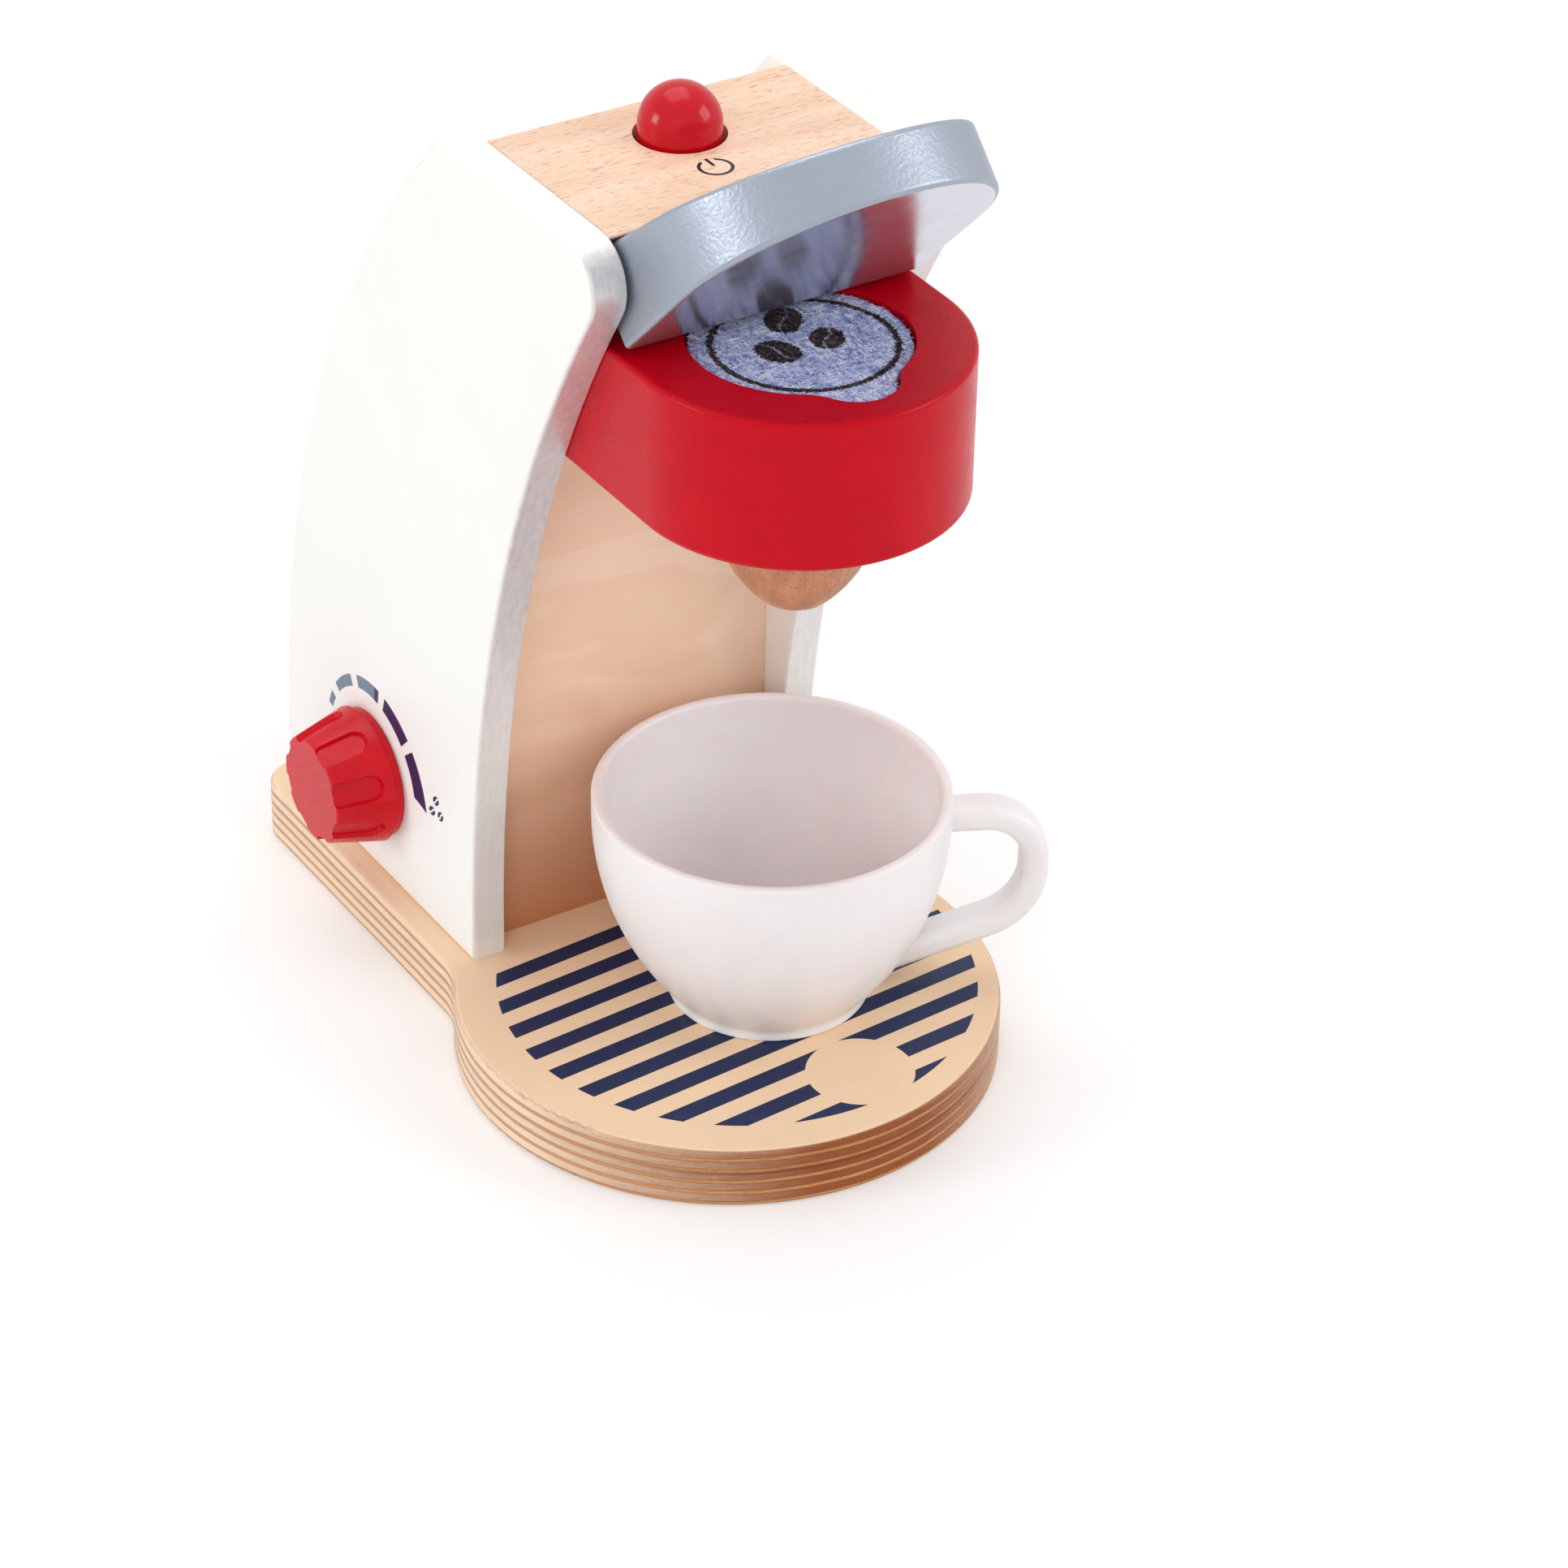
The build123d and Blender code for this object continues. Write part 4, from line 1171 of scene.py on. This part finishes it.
@dataclass
class LooseFibres:
    """Loose wool fibres on the felt: long ones across it and short ones round its rim.

    The rim's inset is in millimetres, the bend of one step and the lean in radians.
    """

    discs: tuple[Disc, ...] = (Disc(0.0, -24.0 * MM, 23.1 * MM), Disc(0.0, -44.4 * MM, 8.6 * MM))
    count: int = 760
    length: Pair = (2.0 * MM, 6.5 * MM)
    rim_count: int = 420
    rim_length: Pair = (0.8 * MM, 1.7 * MM)
    rim_overhang: float = 0.35 * MM
    rim_inset: Pair = (0.6, 1.6)
    rim_lean: float = 0.7
    bend: float = 0.35
    arch: Pair = (0.6, 1.0)
    radius: float = 0.08 * MM
    lift: float = 0.2 * MM
    margin: float = 0.5 * MM
    segments: int = 6
    sides: int = 3
    seed: int = 7

    def on_felt(self, x: float, y: float, margin: float) -> bool:
        """Whether a point lies on the felt, this far or more from its rim."""
        return any(disc.holds(x, y, margin) for disc in self.discs)

    def path(self, draw: random.Random, start: Vector, heading: float,
             length: float, margin: float) -> list[Vector]:
        """Centre line of one fibre.

        Args:
            draw: The source of random numbers.
            start: Where it starts.
            heading: Direction in which it starts.
            length: Its length.
            margin: How far it stays from the felt's rim.

        Returns:
            The points of its centre line, fewer where it meets the rim.
        """
        bend = draw.uniform(-self.bend, self.bend)
        step = length / self.segments
        spot = start.copy()
        points = []
        for index in range(self.segments + 1):
            arch = math.sin(math.pi * index / self.segments) * self.lift
            points.append(spot + Vector((0.0, 0.0, arch * draw.uniform(*self.arch))))
            heading += bend
            spot = spot + Vector((math.cos(heading), math.sin(heading), 0.0)) * step
            if not self.on_felt(spot.x, spot.y, margin):
                break
        return points

    def thread(self, shape: bmesh.types.BMesh, points: list[Vector]) -> None:
        """Adds one fibre as a thin tube, unless it is too short to be one.

        Args:
            shape: The mesh that it is added to.
            points: Its centre line.
        """
        if len(points) < 3:
            return
        rings = []
        for index, point in enumerate(points):
            ahead = points[min(index + 1, len(points) - 1)] - points[max(index - 1, 0)]
            side = ahead.cross(UP).normalized()
            over = side.cross(ahead).normalized()
            ring = []
            for corner in range(self.sides):
                turn = math.tau * corner / self.sides
                offset = side * math.cos(turn) + over * math.sin(turn)
                ring.append(shape.verts.new(point + offset * self.radius))
            rings.append(ring)
        for first, second in zip(rings, rings[1:]):
            for corner in range(self.sides):
                after = (corner + 1) % self.sides
                shape.faces.new((first[corner], first[after], second[after], second[corner]))
        shape.faces.new(reversed(rings[0]))
        shape.faces.new(rings[-1])

    def lay_across(self, shape: bmesh.types.BMesh, draw: random.Random, top: float) -> None:
        """Lays the long fibres in all directions over the felt.

        Args:
            shape: The mesh that they are added to.
            draw: The source of random numbers.
            top: Height of the felt's top.
        """
        main = self.discs[0]
        for _ in range(self.count):
            distance = main.radius * math.sqrt(draw.random())
            start = main.spot(draw.uniform(0.0, math.tau), distance, top)
            heading = draw.uniform(0.0, math.tau)
            length = draw.uniform(*self.length)
            if self.on_felt(start.x, start.y, self.margin):
                self.thread(shape, self.path(draw, start, heading, length, self.margin))

    def lay_round_rim(self, shape: bmesh.types.BMesh, draw: random.Random, top: float) -> None:
        """Lays short fibres that stick out over the felt's rim.

        Args:
            shape: The mesh that they are added to.
            draw: The source of random numbers.
            top: Height of the felt's top.
        """
        for disc in self.discs:
            for _ in range(round(self.rim_count * disc.radius / self.discs[0].radius)):
                angle = draw.uniform(0.0, math.tau)
                inward = disc.radius - draw.uniform(*self.rim_inset) * MM
                start = disc.spot(angle, inward, top - self.lift)
                heading = angle + draw.uniform(-self.rim_lean, self.rim_lean)
                length = draw.uniform(*self.rim_length)
                self.thread(shape, self.path(draw, start, heading, length,
                                             -self.rim_overhang))

    def build(self, felt: bpy.types.Material) -> bpy.types.Object:
        """Builds the fibres as one mesh.

        Args:
            felt: Their finish.

        Returns:
            The fibres.
        """
        _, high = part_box("coffee_pad")
        draw = random.Random(self.seed)
        shape = bmesh.new()
        self.lay_across(shape, draw, high.z)
        self.lay_round_rim(shape, draw, high.z)
        mesh = bpy.data.meshes.new("felt_fibres")
        shape.to_mesh(mesh)
        shape.free()
        hairs = placed("felt_fibres", mesh)
        mesh.materials.append(felt)
        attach(hairs, Body.MACHINE.value)
        return hairs


@dataclass
class BrewUnit(SubAssembly):
    """Red head, its nozzle and the felt pad that lies in it."""

    voxel: float = 0.5 * MM
    swell: float = 0.11 * MM
    lump: float = 2.2 * MM
    ink_edge: float = 0.09 * MM
    head_gloss: float = 0.29
    nozzle_band: float = 5.0 * MM
    fibres: LooseFibres = field(default_factory=LooseFibres)

    def soften(self, pad: bpy.types.Object) -> None:
        """Gives the pad the modifiers that round its edges and lay lumps on it.

        Args:
            pad: The pad.
        """
        remesh = pad.modifiers.new("weave", "REMESH")
        remesh.mode = "VOXEL"
        remesh.voxel_size = self.voxel
        soften = pad.modifiers.new("soften", "SMOOTH")
        soften.factor = 0.5
        soften.iterations = 3
        clouds = bpy.data.textures.new("felt_lumps", "CLOUDS")
        clouds.noise_scale = self.lump
        clouds.noise_depth = 3
        lumps = pad.modifiers.new("lumps", "DISPLACE")
        lumps.texture = clouds
        lumps.texture_coords = "LOCAL"
        lumps.strength = self.swell * 2
        lumps.mid_level = 0.75

    def felt_pad(self, felt: bpy.types.Material) -> bpy.types.Object:
        """Builds the pad as a soft slab with rounded, slightly uneven edges.

        Args:
            felt: Its finish.

        Returns:
            The pad.
        """
        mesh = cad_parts["coffee_pad"].data.copy()
        mesh.name = "felt_pad"
        pad = placed("felt_pad", mesh)
        self.soften(pad)
        evaluated = pad.evaluated_get(bpy.context.evaluated_depsgraph_get())
        final = bpy.data.meshes.new_from_object(evaluated)
        pad.modifiers.clear()
        pad.data = final
        final.materials.clear()
        final.materials.append(felt)
        for polygon in final.polygons:
            polygon.use_smooth = True
        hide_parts("coffee_pad")
        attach(pad, Body.MACHINE.value)
        return pad

    def build(self) -> None:
        """Dresses the head and nozzle and builds the felt pad."""
        done = self.finishes
        self.dress(Paint("red_head_paint", done.red, done.deep_red, self.head_gloss),
                   "brew_head")
        # The nozzle's colours carry painted shade of the head above it.
        self.dress(Timber("beech_nozzle", done.turned_pale_with_shade, done.turned_deep_with_shade,
                          done.turned_fleck, Grain.ALONG_Z, self.nozzle_band), "nozzle")
        felt = Felt("grey_blue_felt", done.wool, done.pale_wool, done.dark_wool,
                    done.brown_ink, PadPrint(done.pad_ink, self.ink_edge)).build()
        pad = self.felt_pad(felt)
        hairs = self.fibres.build(felt)
        log.info("felt_pad: %d faces, felt_fibres: %d faces", len(pad.data.polygons),
                 len(hairs.data.polygons))


@dataclass
class HingedLid(SubAssembly):
    """Silver lid with its two pins and washers."""

    open_degrees: float = 45.0
    washer_gloss: float = 0.5

    def build(self) -> None:
        """Dresses the lid and its hinge."""
        done = self.finishes
        tilt = math.radians(self.open_degrees)
        underside = (0.0, -math.sin(tilt), -math.cos(tilt))
        self.dress(LidSilver("lid_silver", done.lid_silver, done.mirror, underside), "lid")
        self.dress(Steel("pin_steel", done.pin_steel, done.dull_pin), "left_hinge_pin",
                   "right_hinge_pin")
        self.dress(Moulded("nylon", done.nylon, done.nylon_shade, self.washer_gloss),
                   "hinge_washers")


@dataclass
class PushButton(SubAssembly):
    """Red push button over its coil spring."""

    gloss: float = 0.16
    specular: float = 0.3

    def build(self) -> None:
        """Dresses the button and spring."""
        done = self.finishes
        self.dress(Paint("red_button_paint", done.red, done.deep_red, self.gloss,
                         self.specular), "power_button")
        self.dress(Steel("spring_steel", done.spring_steel, done.dull_spring), "button_spring")


@dataclass
class Dial(SubAssembly):
    """Red dial with its friction ring, washer and screw."""

    gloss: float = 0.27
    specular: float = 0.27
    ring_gloss: float = 0.7

    def build(self) -> None:
        """Dresses the dial and its fixings."""
        done = self.finishes
        self.dress(Moulded("red_dial_plastic", done.dial_red, done.dial_deep, self.gloss,
                           self.specular), "dial_knob")
        self.dress(Moulded("black_ring", done.rubber, done.worn_rubber, self.ring_gloss),
                   "dial_friction_ring")
        self.dress(Steel("plated_steel", done.zinc, done.dull_zinc), "dial_washer",
                   "dial_screw")


@dataclass
class Cup(SubAssembly):
    """White plastic cup."""

    gloss: float = 0.36
    glow: float = 0.45

    def build(self) -> None:
        """Dresses the cup."""
        done = self.finishes
        self.dress(Moulded("cup_plastic", done.cup_white, done.cup_shade, self.gloss,
                           glow=self.glow), "cup")


@dataclass
class Lamp:
    """A soft rectangular studio lamp, aimed at the machine."""

    name: str
    place: Triple
    size: Pair
    power: float
    mirrored: bool = True
    aim: Triple = (0.0, 0.0, 0.1)

    def build(self) -> None:
        """Hangs the lamp."""
        data = bpy.data.lights.new(self.name, "AREA")
        data.shape = "RECTANGLE"
        data.size, data.size_y = self.size
        data.energy = self.power
        lamp = placed(self.name, data)
        lamp.location = self.place
        lamp.visible_glossy = self.mirrored
        direction = Vector(self.aim) - Vector(self.place)
        lamp.rotation_mode = "QUATERNION"
        lamp.rotation_quaternion = direction.to_track_quat("-Z", "Y")


@dataclass
class Studio:
    """White room with a pale floor, soft lamps and the view from the left front."""

    paper: Colour = (1.0, 1.0, 1.0, 1.0)
    floor_size: float = 12.0
    floor_colour: Colour = screen(230, 230, 230)
    floor_glow: float = 0.24
    ambient: float = 0.57
    camera_place: Triple = (-0.4919, -0.7771, 0.6773)
    azimuth: float = -33.07
    elevation: float = 33.45
    roll: float = 1.33
    lens: float = 114.78
    lamps: tuple[Lamp, ...] = (
        Lamp("left_lamp", (-1.55, 0.48, 0.62), (0.5, 0.5), 5.8),
        Lamp("front_lamp", (-1.1, -1.3, 0.95), (1.0, 0.8), 8.0, mirrored=False),
        Lamp("right_lamp", (1.3, -1.0, 0.95), (0.9, 0.9), 8.6),
        Lamp("top_lamp", (0.1, 0.5, 1.6), (1.2, 1.2), 8.0),
    )

    def floor(self) -> None:
        """Lays the floor, which shows white and keeps the shadow."""
        mesh = bpy.data.meshes.new("floor")
        half = self.floor_size / 2
        mesh.from_pydata([(-half, -half, 0.0), (half, -half, 0.0), (half, half, 0.0),
                          (-half, half, 0.0)], [], [(0, 1, 2, 3)])
        floor = placed("floor", mesh)
        graph = NodeGraph(bpy.data.materials.new("pale_floor"))
        glow = graph.background_rays() * self.floor_glow
        mesh.materials.append(graph.finish(
            Base_Color=self.floor_colour, Roughness=0.9, Specular_IOR_Level=0.0,
            Emission_Color=self.paper, Emission_Strength=glow))

    def world(self) -> None:
        """Sets the even light of the room, seen as white by the camera and by gloss."""
        room = bpy.data.worlds.new("white_room")
        bpy.context.scene.world = room
        graph = NodeGraph(room)
        level = graph.between(graph.background_rays(), self.ambient, 1.0)
        graph.finish("Background", Color=self.paper, Strength=level)

    def camera(self) -> None:
        """Sets the camera, looking down at the machine from the left front."""
        data = bpy.data.cameras.new("camera")
        data.sensor_width = 36.0
        data.lens = self.lens
        data.clip_start = 0.05
        data.clip_end = 50.0
        camera = placed("camera", data)
        turn, rise, lean = map(math.radians, (self.azimuth, self.elevation, self.roll))
        back = Vector((math.sin(turn) * math.cos(rise), -math.cos(turn) * math.cos(rise),
                       math.sin(rise)))
        right = UP.cross(back).normalized()
        upward = back.cross(right)
        right, upward = (right * math.cos(lean) + upward * math.sin(lean),
                         upward * math.cos(lean) - right * math.sin(lean))
        pose = Matrix((right, upward, back)).transposed().to_4x4()
        pose.translation = Vector(self.camera_place)
        camera.matrix_world = pose
        bpy.context.scene.camera = camera

    def build(self) -> None:
        """Makes the floor, the room's light, the lamps and the camera."""
        bpy.context.scene.view_settings.view_transform = "Standard"
        self.floor()
        self.world()
        for lamp in self.lamps:
            lamp.build()
        self.camera()
        log.info("studio: %d lamps", len(self.lamps))


def write_sizes() -> None:
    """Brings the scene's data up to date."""
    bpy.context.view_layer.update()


def main() -> None:
    """Builds the studio and every group of the machine in order."""
    logging.basicConfig(level=logging.INFO, format="%(name)s: %(message)s")
    Studio().build()
    finishes = Finishes()
    for group in (Housing, BrewUnit, HingedLid, PushButton, Dial, Cup):
        group(finishes).build()
    write_sizes()


if __name__ == "__main__":
    main()
